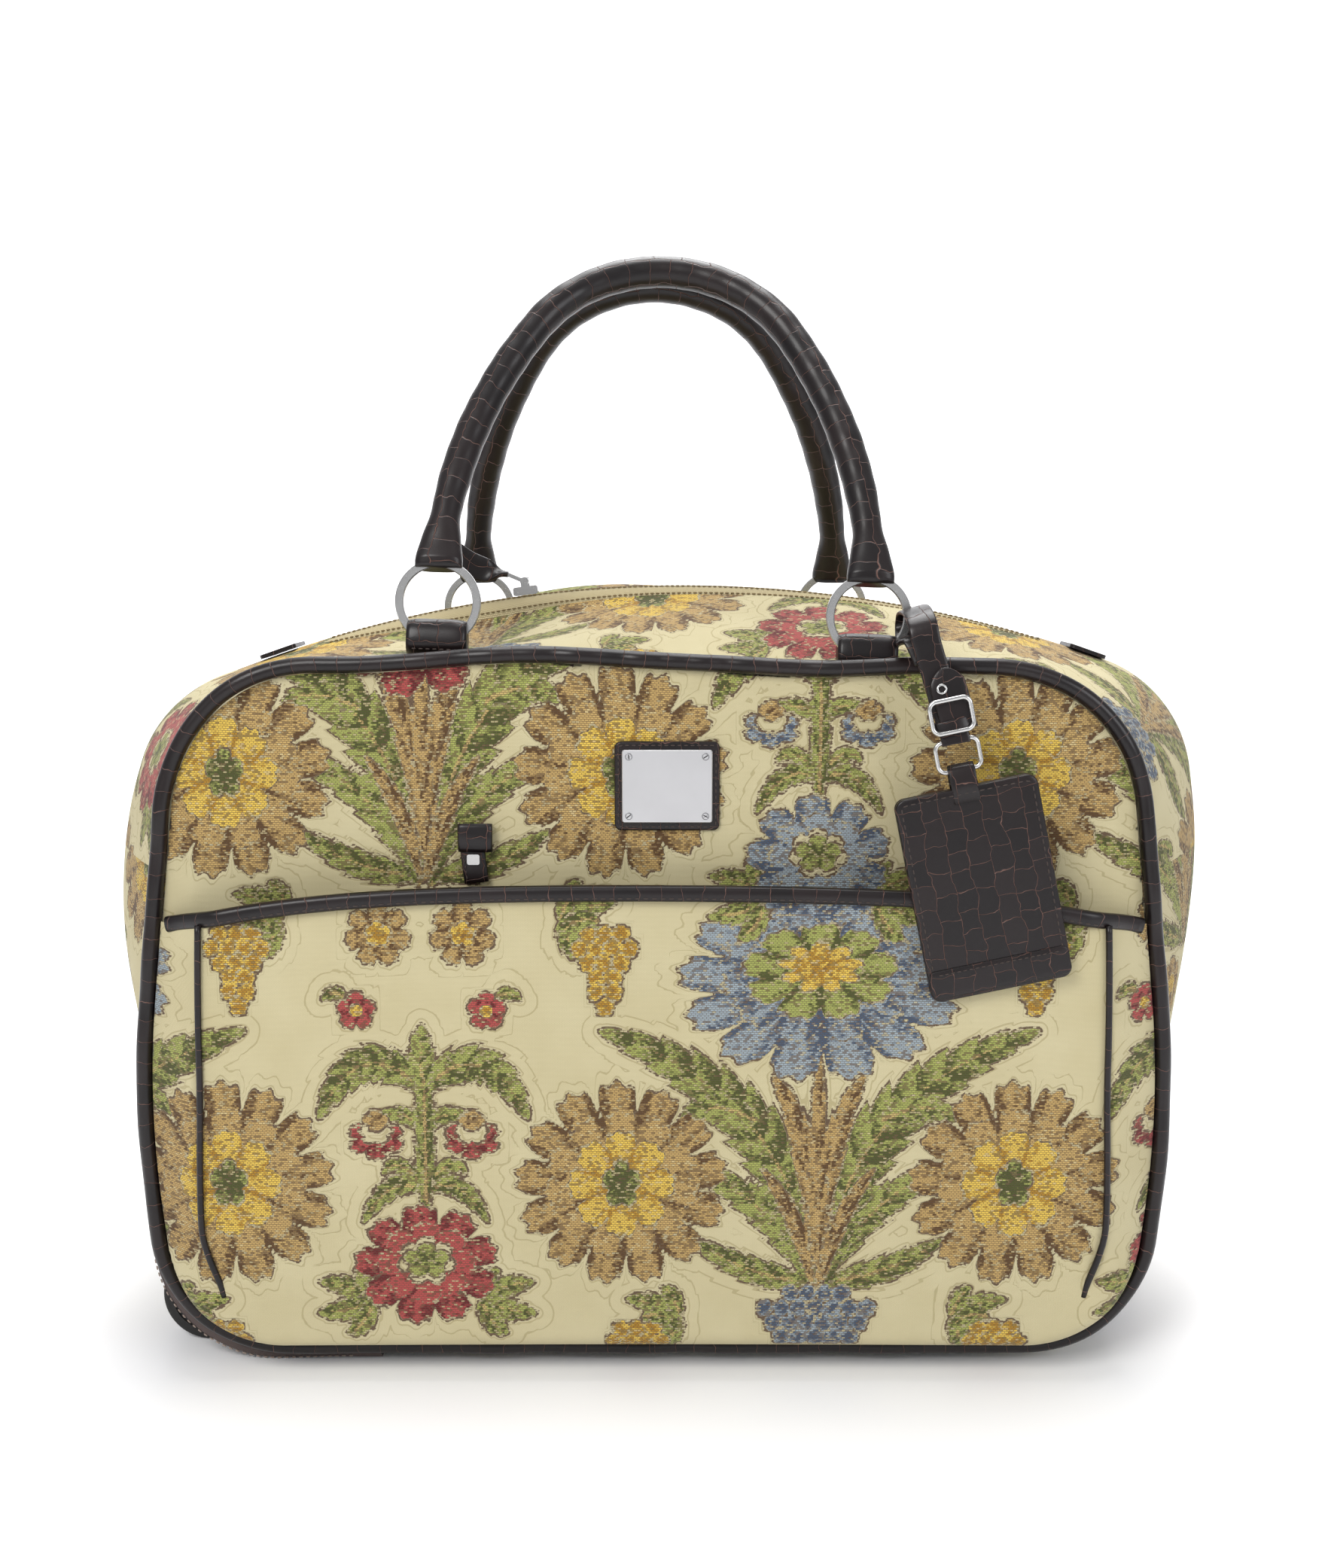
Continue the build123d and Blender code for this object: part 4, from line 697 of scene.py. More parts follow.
def croc_effect():
    """Shader group: embossed croc plates, staggered across the skin, with creases between them."""
    group = bpy.data.node_groups.new("croc embossing", "ShaderNodeTree")
    for name, kind in (("Skin", "NodeSocketVector"), ("Plate Length", "NodeSocketFloat"),
                       ("Plate Width", "NodeSocketFloat")):
        group.interface.new_socket(name, in_out="INPUT", socket_type=kind)
    for name, kind in (("Color", "NodeSocketColor"), ("Crease", "NodeSocketFloat"), ("Roughness", "NodeSocketFloat"),
                       ("Height", "NodeSocketFloat")):
        group.interface.new_socket(name, in_out="OUTPUT", socket_type=kind)
    inner = put(group, "NodeGroupInput").outputs
    outer = put(group, "NodeGroupOutput")
    wander = put(group, "ShaderNodeTexNoise", Vector=inner["Skin"], Scale=0.09, Detail=2.0)
    moved = put(group, "ShaderNodeVectorMath", {"operation": "MULTIPLY_ADD"})
    group.links.new(wander.outputs["Color"], moved.inputs[0])
    moved.inputs[1].default_value = (7.0, 7.0, 0.0)
    group.links.new(inner["Skin"], moved.inputs[2])
    plates = put(group, "ShaderNodeTexBrick", {"offset": 0.42, "squash": 0.8, "squash_frequency": 3},
                 Vector=moved.outputs[0], Color1=(0, 0, 0, 1), Color2=(1, 1, 1, 1), Mortar=(0.5, 0.5, 0.5, 1),
                 Scale=1.0, Mortar_Size=0.32, Mortar_Smooth=1.0, Brick_Width=inner["Plate Length"],
                 Row_Height=inner["Plate Width"])
    pores = put(group, "ShaderNodeTexVoronoi", Vector=inner["Skin"], Scale=1.6)
    crease = figure(group, "POWER", plates.outputs["Fac"], 1.6)
    body = tint(group, plates.outputs["Color"], shade(16, 11, 12), shade(28, 20, 20))
    body = tint(group, figure(group, "MULTIPLY", figure(group, "POWER", plates.outputs["Fac"], 3.0), 0.85), body,
                shade(116, 84, 74))
    group.links.new(body, outer.inputs["Color"])
    group.links.new(crease, outer.inputs["Crease"])
    rough = figure(group, "MULTIPLY_ADD", crease, 0.22, 0.30)
    rough = figure(group, "MULTIPLY_ADD", wander.outputs["Fac"], 0.12, rough)
    group.links.new(rough, outer.inputs["Roughness"])
    height = figure(group, "MULTIPLY_ADD", pores.outputs["Distance"], 0.06, figure(group, "SUBTRACT", 1.0, crease))
    group.links.new(height, outer.inputs["Height"])
    return group


croc = croc_effect()


def leather_finish(name, plate_length, plate_width, depth=0.00045):
    """Croc-embossed leather over a piece's own skin map, which runs along it and round it in metres."""
    made, tree, shader = finish_named(name, Specular_IOR_Level=0.32, Coat_Weight=0.08, Coat_Roughness=0.2)
    skin = put(tree, "ShaderNodeUVMap", {"uv_map": "skin"}).outputs["UV"]
    skin_mm = put(tree, "ShaderNodeVectorMath", {"operation": "SCALE"}, Scale=1000.0)
    tree.links.new(skin, skin_mm.inputs[0])
    emboss = put(tree, "ShaderNodeGroup", {"node_tree": croc}, Skin=skin_mm.outputs[0],
                 Plate_Length=plate_length, Plate_Width=plate_width).outputs
    tree.links.new(emboss["Color"], shader.inputs["Base Color"])
    tree.links.new(emboss["Roughness"], shader.inputs["Roughness"])
    bump(tree, shader, emboss["Height"], depth, 0.8)
    return made


piping_leather = leather_finish("piping_leather", 13.0, 30.0, 0.0003)
handle_leather = leather_finish("handle_leather", 14.0, 13.0)
flat_leather = leather_finish("flat_leather", 12.0, 9.5)


def run_frames(path, closed=False):
    """Points, tangents and run lengths along a path, and a sideways direction that never twists."""
    path = np.array(path, float)
    ahead = np.roll(path, -1, axis=0) - np.roll(path, 1, axis=0)
    if not closed:
        ahead[0], ahead[-1] = path[1] - path[0], path[-1] - path[-2]
    ahead /= np.linalg.norm(ahead, axis=1)[:, None]
    steps = np.linalg.norm(np.diff(path, axis=0), axis=1)
    return path, ahead, np.concatenate([[0], np.cumsum(steps)])


def swept(name, path, outline, body, finish, closed=False, side=None, caps=True, skin_scale=1.0):
    """A leather or metal run: an outline (sideways, upwards) carried along a path, with a skin map.

    outline is a function of the part of the run, from 0 to 1, that gives a closed ring of points.
    side gives the sideways direction at each point, as one vector or one for each point."""
    path, ahead, run = run_frames(path, closed)
    side = np.broadcast_to(np.array(side, float), path.shape)
    side = side - (side * ahead).sum(axis=1)[:, None] * ahead
    side /= np.linalg.norm(side, axis=1)[:, None]
    up = np.cross(side, ahead)
    rings = [outline(t) for t in run / run[-1]]
    count = len(rings[0])
    points = np.concatenate([path[k] + np.array(ring)[:, :1] * side[k] + np.array(ring)[:, 1:] * up[k]
                             for k, ring in enumerate(rings)])
    total = len(path)
    faces, skins = [], []
    girth = np.concatenate([[0], np.cumsum(np.hypot(*np.diff(np.array(rings[total // 2] + rings[total // 2][:1]),
                                                             axis=0).T))])
    for k in range(total if closed else total - 1):
        after = (k + 1) % total
        far = run[after] if after else run[-1] + np.linalg.norm(path[0] - path[-1])
        for j in range(count):
            beside = (j + 1) % count
            faces.append((k * count + j, after * count + j, after * count + beside, k * count + beside))
            skins += [(run[k], girth[j]), (far, girth[j]), (far, girth[j + 1]), (run[k], girth[j + 1])]
    if caps and not closed:
        faces += [tuple(range(count)), tuple(reversed(range((total - 1) * count, total * count)))]
        skins += [(0.0, 0.0)] * (2 * count)
    piece = mesh_piece(name, points, faces, body)
    layer = piece.data.uv_layers.new(name="skin")
    layer.data.foreach_set("uv", (np.array(skins) * skin_scale).astype(np.float32).ravel())
    piece.data.materials.append(finish)
    return piece


def circle(radius, count=14):
    ring = [(radius * cos(t), radius * sin(t)) for t in np.linspace(0, 2 * pi, count, endpoint=False)]
    return lambda part: ring


def piping_path(which, y, out):
    """The line just outside a panel, a little wavy, sunk with the cloth under it."""
    turns = even_turns(-pi, pi, 0.0040)[0][:-1]
    radius = reach(which, turns)
    points = np.stack([radius * np.sin(turns), side_seam + radius * np.cos(turns)], axis=1)
    ahead = np.roll(points, -1, axis=0) - np.roll(points, 1, axis=0)
    ahead /= np.linalg.norm(ahead, axis=1)[:, None]
    points = points + np.stack([-ahead[:, 1], ahead[:, 0]], axis=1) * out
    wave = 0.0005 * np.sin(turns * 23) + 0.0004 * np.sin(turns * 41 + 1)
    y = y + wave
    return np.stack([points[:, 0], y, settle(points[:, 0], y, points[:, 1])], axis=1)


for end, y in (("front", -0.0915), ("back", 0.1155)):
    path = piping_path(end, y, 0.0043)
    piece = swept(f"{end}_piping_leather", path, circle(0.0040), "bag", piping_leather, closed=True,
                  side=(0, 1, 0))
    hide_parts(f"{end}_piping")

# ---- pocket trim: a rolled leather binding over the mouth and thin piping down both sides ----
# The binding is folded over the panel's edge and sewn through with one row of stitches.


def flat_ring(width, height, power=0.45, count=20):
    """A rounded bar's outline."""
    turns = np.linspace(0, 2 * pi, count, endpoint=False)
    return [(width / 2 * np.sign(cos(t)) * abs(cos(t)) ** power, height / 2 * np.sign(sin(t)) * abs(sin(t)) ** power)
            for t in turns]


across = np.linspace(-0.2330, 0.2340, 150)
binding_y = -0.1122 + 0.0165 * ramp(abs(across), 0.203, 0.2365)
binding_path = np.stack([across, binding_y, mouth_line(across) - 0.0035], axis=1)
binding = swept("pocket_binding_leather", binding_path, lambda part: flat_ring(0.0078, 0.0064, 0.7), "bag",
                piping_leather, side=(0, 0, 1))
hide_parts("pocket_binding")
for side in (-1, 1):
    heights = np.linspace(0.044, 0.2290, 48)
    edge = 0.2165 - 0.0020 * ((heights - 0.15) / 0.08) ** 2 + 0.0035 * ramp(-heights, -0.16, -0.07)
    edge = edge - 0.0075 * ramp(-heights, -0.080, -0.040)
    thin = np.stack([side * edge, -0.1122 + 0.0022 * ramp(-heights, -0.062, -0.044), heights], axis=1)
    piece = swept(f"pocket_piping_{'left' if side < 0 else 'right'}", thin, circle(0.0016, 10), "bag", piping_leather,
                  side=(1, 0, 0))
    if side < 0:
        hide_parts("pocket_piping")

stitch_thread, tree, shader = finish_named("stitch_thread", Roughness=0.8)
twist = put(tree, "ShaderNodeTexWave", Scale=900.0, Distortion=1.0)
tree.links.new(tint(tree, twist.outputs["Fac"], shade(34, 28, 26), shade(74, 62, 56)), shader.inputs["Base Color"])


def stitches(name, path, body, length=0.0022, pitch=0.0034, radius=0.00035, finish=None, closed=False):
    """A row of sewn stitches: short rounded threads laid along a path."""
    path = [Vector(p) for p in path] + ([Vector(path[0])] if closed else [])
    runs = [(b - a).length for a, b in zip(path, path[1:])]
    along = np.concatenate([[0], np.cumsum(runs)])
    points, faces = [], []
    for start in np.arange(pitch / 2, along[-1] - length, pitch):
        ends = []
        for s in (start, start + length):
            k = min(int(np.searchsorted(along, s, side="right")) - 1, len(runs) - 1)
            ends.append(path[k].lerp(path[k + 1], (s - along[k]) / runs[k]))
        ahead = (ends[1] - ends[0]).normalized()
        side = ahead.orthogonal().normalized()
        other = ahead.cross(side)
        base = len(points)
        for part, size in ((0.0, 0.35), (0.2, 1.0), (0.8, 1.0), (1.0, 0.35)):
            centre = ends[0].lerp(ends[1], part)
            points += [centre + (side * cos(t) + other * sin(t)) * radius * size
                       for t in np.arange(0, 2 * pi, pi / 3)]
        faces += [(base + r * 6 + j, base + r * 6 + (j + 1) % 6, base + r * 6 + 6 + (j + 1) % 6,
                   base + r * 6 + 6 + j)
                  for r in range(3) for j in range(6)]
        faces += [tuple(base + j for j in reversed(range(6))), tuple(base + 18 + j for j in range(6))]
    piece = mesh_piece(name, points, faces, body)
    piece.data.materials.append(finish or stitch_thread)
    return piece


stitches("binding_stitches", binding_path - np.array([0, 0.0031, 0.0020]), "bag", 0.0024, 0.0040)

# ---- handles: leather rolled round a cord, flared at each end and folded round a metal ring ----
# The two arches lean together over the zip.
ring_half, ring_middle, handle_rise, handle_crown = 0.103, 0.0185, 0.172, 0.075
handle_places = {"front": (-0.079, 0.376, 2.0, 1), "back": (0.103, 0.371, 0.0, -1)}
flank = ((ring_half ** 2 + (handle_rise - handle_crown) ** 2 - handle_crown ** 2) / (2 * (ring_half - handle_crown)))


def arch_line(count=170):
    """Half the arch, in its own plane, from the ring bar up to the crown: flank arc, then crown arc."""
    joint = atan2(handle_rise - handle_crown, flank - ring_half)
    low = [(ring_half - flank + flank * cos(t), flank * sin(t)) for t in np.linspace(-0.010, joint, count)]
    start = atan2(low[-1][1] - (handle_rise - handle_crown), low[-1][0])
    high = [(handle_crown * cos(t), handle_rise - handle_crown + handle_crown * sin(t))
            for t in np.linspace(start, pi / 2, count)[1:]]
    right = np.array(low + high)
    left = right[::-1][1:] * np.array([-1, 1])
    line = np.concatenate([right, left])
    run = np.concatenate([[0], np.cumsum(np.hypot(*np.diff(line, axis=0).T))])
    even = np.linspace(0, run[-1], 2 * count)
    return np.stack([np.interp(even, run, line[:, k]) for k in (0, 1)], axis=1), run[-1]


arch, arch_length = arch_line()


def handle_ring(part):
    """Round cord section that flattens and flares in the last stretch before each ring."""
    off = min(part, 1 - part) * arch_length
    neck, flare = float(ramp(off, 0.030, 0.060)), float(1 - ramp(off, 0.002, 0.032))
    half_width = 0.0080 * neck + 0.0072 * (1 - neck) + 0.0040 * flare
    half_depth = 0.0080 * neck + 0.0072 * (1 - neck) - 0.0012 * flare
    if off < 0.0025:
        half_depth *= 0.75
    knots = 1 + 0.012 * sin(off * 420) + 0.01 * sin(off * 163 + 1)
    ring = []
    for t in np.linspace(0, 2 * pi, 28, endpoint=False):
        square = 1 - 0.25 * flare
        u = np.sign(cos(t)) * abs(cos(t)) ** square
        v = np.sign(sin(t)) * abs(sin(t)) ** square
        seam = 1 - 0.05 * np.exp(-((t - pi) / 0.16) ** 2)
        ring.append((half_width * u * knots * seam, half_depth * v * knots * seam))
    return ring


for end, (y, height, tilt, leaning) in handle_places.items():
    turn = radians(tilt)
    foot = Vector((ring_middle * sin(turn), y, height + ring_middle * cos(turn)))
    lean = asin((abs(y - middle_y) - 0.008 - 0.0005) / handle_rise)
    along = Vector((cos(turn), 0, -sin(turn)))
    up = Vector((sin(turn) * cos(lean), leaning * sin(lean), cos(turn) * cos(lean)))
    path = [foot + along * u + up * v for u, v in arch]
    out = np.gradient(arch, axis=0)
    sideways = [along * -v + up * u for u, v in out]
    handle = swept(f"handle_{end}_leather", path, handle_ring, f"{end}_handle", handle_leather,
                   side=[tuple(s) for s in sideways])
    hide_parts(f"handle_{end}")

# ---- ring loops: short folds of leather sewn into the gusset, each holding one ring ----
# Each is a roll with its two ends flattened into the seam.


def loop_ring(part):
    """The fold seen from its end: round over the ring's bar, drawn in below."""
    swell = 1 - 0.10 * abs(2 * part - 1) ** 6
    ring = []
    for t in np.linspace(0, 2 * pi, 26, endpoint=False):
        depth, rise = 0.0078 * cos(t), 0.0078 * sin(t)
        if rise < 0:
            rise *= 1.35
            depth *= 0.96
        ring.append((depth * swell, rise * swell))
    return ring


for end, (y, height, tilt, leaning) in handle_places.items():
    for side_name, side in (("left", -1), ("right", 1)):
        turn = radians(tilt)
        along = np.array([cos(turn), 0, -sin(turn)])
        bar = np.array([side * ring_half * cos(turn) - ring_middle * sin(turn), y,
                        height - side * ring_half * sin(turn) - ring_middle * cos(turn)])
        path = [bar + along * s for s in np.linspace(-0.0142, 0.0142, 16)]
        loop = swept(f"ring_loop_{end}_{side_name}_leather", path, loop_ring, "bag", flat_leather,
                     side=(0, 1, 0))
        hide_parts(f"ring_loop_{end}_{side_name}")
        seam = [bar + along * s + np.array([0, -0.0079, -0.0035]) for s in np.linspace(-0.013, 0.013, 8)]
        stitches(f"ring_loop_{end}_{side_name}_stitches", seam, "bag", 0.002, 0.0033)


# ---- metal: polished rings, plate and tag fittings, each a stamped or drawn piece ----
# Their plating is bright, with fine rubbing marks.


def metal_finish(name, base, rough, marks=0.12):
    made, tree, shader = finish_named(name, Metallic=1.0)
    place = put(tree, "ShaderNodeNewGeometry").outputs["Position"]
    scratches = put(tree, "ShaderNodeTexNoise", Vector=place, Scale=420.0, Detail=6.0, Roughness=0.7)
    smears = put(tree, "ShaderNodeTexNoise", Vector=place, Scale=45.0, Detail=3.0)
    tree.links.new(tint(tree, smears.outputs["Fac"], tuple(c * 0.86 for c in base[:3]) + (1,), base),
                   shader.inputs["Base Color"])
    tree.links.new(figure(tree, "MULTIPLY_ADD", scratches.outputs["Fac"], marks, rough), shader.inputs["Roughness"])
    bump(tree, shader, scratches.outputs["Fac"], 0.00003, 0.5)
    return made


def finish_node(name, finish):
    """Gives a frame node its finish in every material place."""
    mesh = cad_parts[name].data
    mesh.materials.clear()
    mesh.materials.append(finish)


bright = metal_finish("bright_metal", shade(205, 204, 202), 0.20)
satin = metal_finish("satin_plate", shade(214, 213, 214), 0.34)
steel = metal_finish("steel", shade(150, 150, 152), 0.3)
dark_slot = metal_finish("screw_slot", shade(46, 44, 44), 0.6)
for end in ("front", "back"):
    for side in ("left", "right"):
        finish_node(f"ring_{end}_{side}", bright)
for name in ("tag_wire_loop", "tag_buckle", "zip_slider", "zip_pull_link", "strap_snap"):
    finish_node(name, bright)
for name in ("name_plate", "plate_screws"):
    finish_node(name, satin)
for name in ("axle_front", "axle_back", "tow_outer_tubes", "tow_middle_tubes", "tow_inner_tubes"):
    finish_node(name, steel)

# ---- name plate: a bare metal plate on a stitched leather patch, held by four small screws ----
# The patch is a flat piece of the same leather with turned edges.


def slab(name, width, height, thickness, radius, origin, right, up, body, finish, skin_shift=(0, 0)):
    """A flat leather piece with rounded corners and edges, standing out along right x up."""
    right, up = Vector(right).normalized(), Vector(up).normalized()
    out = right.cross(up)
    levels = ((0.0, 0.0), (0.0, 0.6), (0.0003, 0.85), (0.0009, 1.0), (0.0030, 1.02))
    points, faces = [], []
    corners = 10
    for inset, part in levels:
        for cx, cz, start in ((1, 1, 0), (-1, 1, 1), (-1, -1, 2), (1, -1, 3)):
            for t in np.linspace(start * pi / 2, (start + 1) * pi / 2, corners):
                u = cx * (width / 2 - radius) + (radius - inset) * cos(t)
                v = cz * (height / 2 - radius) + (radius - inset) * sin(t)
                points.append(Vector(origin) + right * u + up * v + out * thickness * part)
    ring = 4 * corners
    for level in range(len(levels) - 1):
        faces += [(level * ring + j, level * ring + (j + 1) % ring, (level + 1) * ring + (j + 1) % ring,
                   (level + 1) * ring + j) for j in range(ring)]
    faces += [tuple(reversed(range(ring))), tuple(range((len(levels) - 1) * ring, len(levels) * ring))]
    piece = mesh_piece(name, points, faces, body)
    layer = piece.data.uv_layers.new(name="skin")
    for loop in piece.data.loops:
        flat = Vector(points[loop.vertex_index]) - Vector(origin)
        layer.data[loop.index].uv = (flat.dot(up) + skin_shift[0], flat.dot(right) + skin_shift[1])
    piece.data.materials.append(finish)
    return piece


def edge_line(width, height, inset, radius, origin, right, up, lift):
    """A closed line just inside a slab's edge."""
    right, up = Vector(right).normalized(), Vector(up).normalized()
    line = []
    for cx, cz, start in ((1, 1, 0), (-1, 1, 1), (-1, -1, 2), (1, -1, 3)):
        for t in np.linspace(start * pi / 2, (start + 1) * pi / 2, 6):
            u = cx * (width / 2 - radius) + (radius - inset) * cos(t)
            v = cz * (height / 2 - radius) + (radius - inset) * sin(t)
            line.append(Vector(origin) + right * u + up * v + right.cross(up) * lift)
    return line


low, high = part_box("plate_patch")
patch_centre = ((low[0] + high[0]) / 2, high[1], (low[2] + high[2]) / 2)
patch = slab("plate_patch_leather", 0.050, 0.0427, 0.0018, 0.003, patch_centre, (1, 0, 0), (0, 0, 1), "bag",
             flat_leather)
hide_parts("plate_patch")
stitches("plate_patch_stitches", edge_line(0.050, 0.0427, 0.0018, 0.003, patch_centre, (1, 0, 0), (0, 0, 1), 0.0019),
         "bag", 0.0020, 0.0031, closed=True)

low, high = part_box("plate_screws")
for k, (x, z) in enumerate(((low[0], low[2]), (low[0], high[2]), (high[0], low[2]), (high[0], high[2]))):
    head = Vector((x + (0.0013 if k < 2 else -0.0013), low[1], z + (0.0013 if k % 2 == 0 else -0.0013)))
    rim = [head + Vector((0.0015 * cos(t), 0.00025, 0.0015 * sin(t)))
           for t in np.linspace(0, 2 * pi, 20, endpoint=False)]
    swept(f"plate_screw_rim_{k + 1}", [tuple(p) for p in rim], circle(0.00028, 6), "bag", steel,
          closed=True, side=(0, 1, 0))
    slot_way = Vector((cos(0.7 + k), 0, sin(0.7 + k))) * 0.0011
    swept(f"plate_screw_slot_{k + 1}", [tuple(head - slot_way), tuple(head), tuple(head + slot_way)],
          lambda part: flat_ring(0.0005, 0.0004), "bag", dark_slot, side=(0, 1, 0))

# ---- pocket strap: a short leather strap folded to a loop over the pocket's mouth ----
# A narrower tongue with a metal end hangs below the fold.
strap_path = [(-0.0850, -0.0962 - 0.0012 * sin(t * pi), 0.2750 - 0.013 * t) for t in np.linspace(0, 1, 8)]
strap = swept("pocket_strap_leather", strap_path, lambda part: flat_ring(0.0165, 0.0046 - 0.0012 * part), "bag",
              flat_leather, side=(1, 0, -0.09))
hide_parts("pocket_strap")
tongue_path = [(-0.0868 + 0.002 * t, -0.0948, 0.2640 - 0.0175 * t) for t in np.linspace(0, 1, 8)]
swept("pocket_tongue_leather", tongue_path, lambda part: flat_ring(0.0118, 0.0030), "bag", flat_leather,
      side=(1, 0, 0.11))
stitches("pocket_tongue_stitches", [(p[0] - 0.0042, p[1] - 0.0016, p[2]) for p in tongue_path], "bag", 0.0016, 0.0026)

# ---- luggage tag: two stitched leather layers round a card, hung from the right front ring ----
# A strap goes round the ring and through a buckle, and a wire loop joins it to the tag's neck.
tag_turn = radians(12.0)
tag_up, tag_right = Vector((-sin(tag_turn), 0, cos(tag_turn))), Vector((cos(tag_turn), 0, sin(tag_turn)))
tag_width, tag_height = 0.067, 0.098
tag_centre = Vector((0.154, 0, 0.248))
for layer, y, thick in (("front", -0.1173, 0.0022), ("back", -0.1143, 0.0022)):
    piece = slab(f"tag_{layer}_leather", tag_width, tag_height, thick, 0.005, tag_centre + Vector((0, y, 0)),
                 tag_right, tag_up, "luggage_tag", flat_leather, (0.02, 0.01))
    if layer == "front":
        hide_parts("tag_front")
tag_face = tag_centre + Vector((0, -0.1173, 0))
stitches("tag_stitches", edge_line(tag_width, tag_height, 0.0028, 0.005, tag_face, tag_right, tag_up, 0.0023),
         "luggage_tag", 0.0023, 0.0036, closed=True)
slab("tag_foot_strip", tag_width - 0.001, 0.0135, 0.0010, 0.003, tag_face - tag_up * 0.0405 +
     Vector((0, -0.0021, 0)), tag_right, tag_up, "luggage_tag", flat_leather, (0.05, 0.0))
stitches("tag_foot_stitches", [tag_face - tag_up * 0.0358 + tag_right * s + Vector((0, -0.0033, 0))
                               for s in (-0.030, 0.030)], "luggage_tag", 0.0019, 0.0029)
neck_eye = tag_centre + tag_up * (tag_height / 2 + 0.008) + Vector((0, -0.1169, 0))
neck_path = [tag_centre + tag_up * (tag_height / 2 - 0.006) + Vector((0, -0.1131, 0)),
             tag_centre + tag_up * (tag_height / 2 + 0.002) + Vector((0, -0.1134, 0)),
             neck_eye + Vector((0, 0.0024, 0)), neck_eye + tag_up * 0.0024, neck_eye - Vector((0, 0.0024, 0)),
             tag_centre + tag_up * (tag_height / 2 + 0.001) + Vector((0, -0.1186, 0)),
             tag_centre + tag_up * (tag_height / 2 - 0.007) + Vector((0, -0.1196, 0))]
neck = swept("tag_neck_leather", [tuple(p) for p in neck_path], lambda part: flat_ring(0.0125, 0.0016), "luggage_tag",
             flat_leather, side=tuple(tag_right))
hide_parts("tag_back")
card, tree, shader = finish_named("tag_card_paper", Roughness=0.8)
fibres = put(tree, "ShaderNodeTexNoise", Scale=900.0, Detail=4.0)
tree.links.new(tint(tree, fibres.outputs["Fac"], shade(226, 222, 210), shade(240, 237, 228)),
               shader.inputs["Base Color"])
finish_node("tag_card", card)

strap_foot = neck_eye + tag_up * 0.014
grip = radians(-10.0)
ring_turn = radians(2.0)
strap_eye = Vector((ring_half * cos(ring_turn) + ring_middle * cos(grip), -0.079,
                    0.376 - ring_half * sin(ring_turn) + ring_middle * sin(grip)))
strap_head = Vector((strap_eye.x + 0.003, -0.107, strap_eye.z))
fall = (strap_foot - strap_head).normalized()
fall_side = Vector((fall.z, 0, -fall.x)).normalized() * -1
strap_line = [strap_head.lerp(strap_foot, 0.30) + Vector((-0.001, 0.0048, 0)),
              strap_head + Vector((-0.001, 0.006, -0.006)),
              strap_eye + Vector((0, -0.013, -0.007)), strap_eye + Vector((0.001, -0.0035, -0.0072)),
              strap_eye + Vector((0.002, 0.0058, -0.0015)), strap_eye + Vector((0.002, 0.0035, 0.0055)),
              strap_eye + Vector((0.002, -0.006, 0.0072)), strap_eye + Vector((0.0025, -0.017, 0.0062)),
              strap_head + Vector((0.0005, 0.0012, 0.0012)), strap_head.lerp(strap_foot, 0.16),
              strap_head.lerp(strap_foot, 0.42), strap_head.lerp(strap_foot, 0.72), strap_foot + tag_up * 0.003,
              strap_foot - Vector((0, 0.0008, 0)) - tag_up * 0.0016]


def smooth_line(points, count):
    """A smooth run through a few points."""
    points = [Vector(points[0]) * 2 - Vector(points[1])] + [Vector(p) for p in points]
    points.append(points[-1] * 2 - points[-2])
    line = []
    for s in np.linspace(1, len(points) - 2 - 1e-6, count):
        k, t = int(s), s - int(s)
        a, b, c, d = points[k - 1:k + 3]
        line.append(0.5 * ((2 * b) + (c - a) * t + (2 * a - 5 * b + 4 * c - d) * t ** 2
                           + (3 * b - a - 3 * c + d) * t ** 3))
    return [tuple(p) for p in line]


strap_run = smooth_line(strap_line, 90)
tag_strap = swept("tag_strap_leather", strap_run, lambda part: flat_ring(0.0135, 0.0022), "tag_strap", flat_leather,
                  side=tuple(fall_side))
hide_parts("tag_strap")


def tail_ring(part):
    """The strap's free end, rounded off at its tip."""
    near_end = float(np.sqrt(np.clip(part / 0.22, 0.02, 1)))
    return flat_ring(0.0165 * near_end, 0.0020)


tail_top = strap_head.lerp(strap_foot, 0.36) + Vector((0.0035, -0.0034, 0))
tail_run = smooth_line([tail_top, tail_top + fall * 0.010 - Vector((0, 0.0006, 0)), tail_top + fall * 0.020,
                        tail_top + fall * 0.030 + Vector((0, 0.0012, 0))], 26)
swept("tag_strap_tail", tail_run, tail_ring, "tag_strap", flat_leather, side=tuple(fall_side))
keeper_centre = strap_head.lerp(strap_foot, 0.86) + Vector((0.0006, -0.0008, 0))
keeper_side = Vector(fall_side).normalized()
keeper_run = [keeper_centre + keeper_side * 0.0088 * cos(t) + Vector((0, 0.0034 * sin(t), 0))
              for t in np.linspace(0, 2 * pi, 28, endpoint=False)]
swept("tag_strap_keeper", [tuple(p) for p in keeper_run], lambda part: flat_ring(0.0055, 0.0012), "tag_strap",
      flat_leather, closed=True, side=tuple(fall))
eyelet_centre = tail_top + fall * 0.010 + Vector((-0.0035, -0.0018, 0))
eyelet_run = [eyelet_centre + keeper_side * 0.0020 * cos(t) + fall * 0.0020 * sin(t)
              for t in np.linspace(0, 2 * pi, 20, endpoint=False)]
swept("tag_strap_eyelet", [tuple(p) for p in eyelet_run], circle(0.0006, 8), "tag_strap", bright,
      closed=True, side=(0, 1, 0))

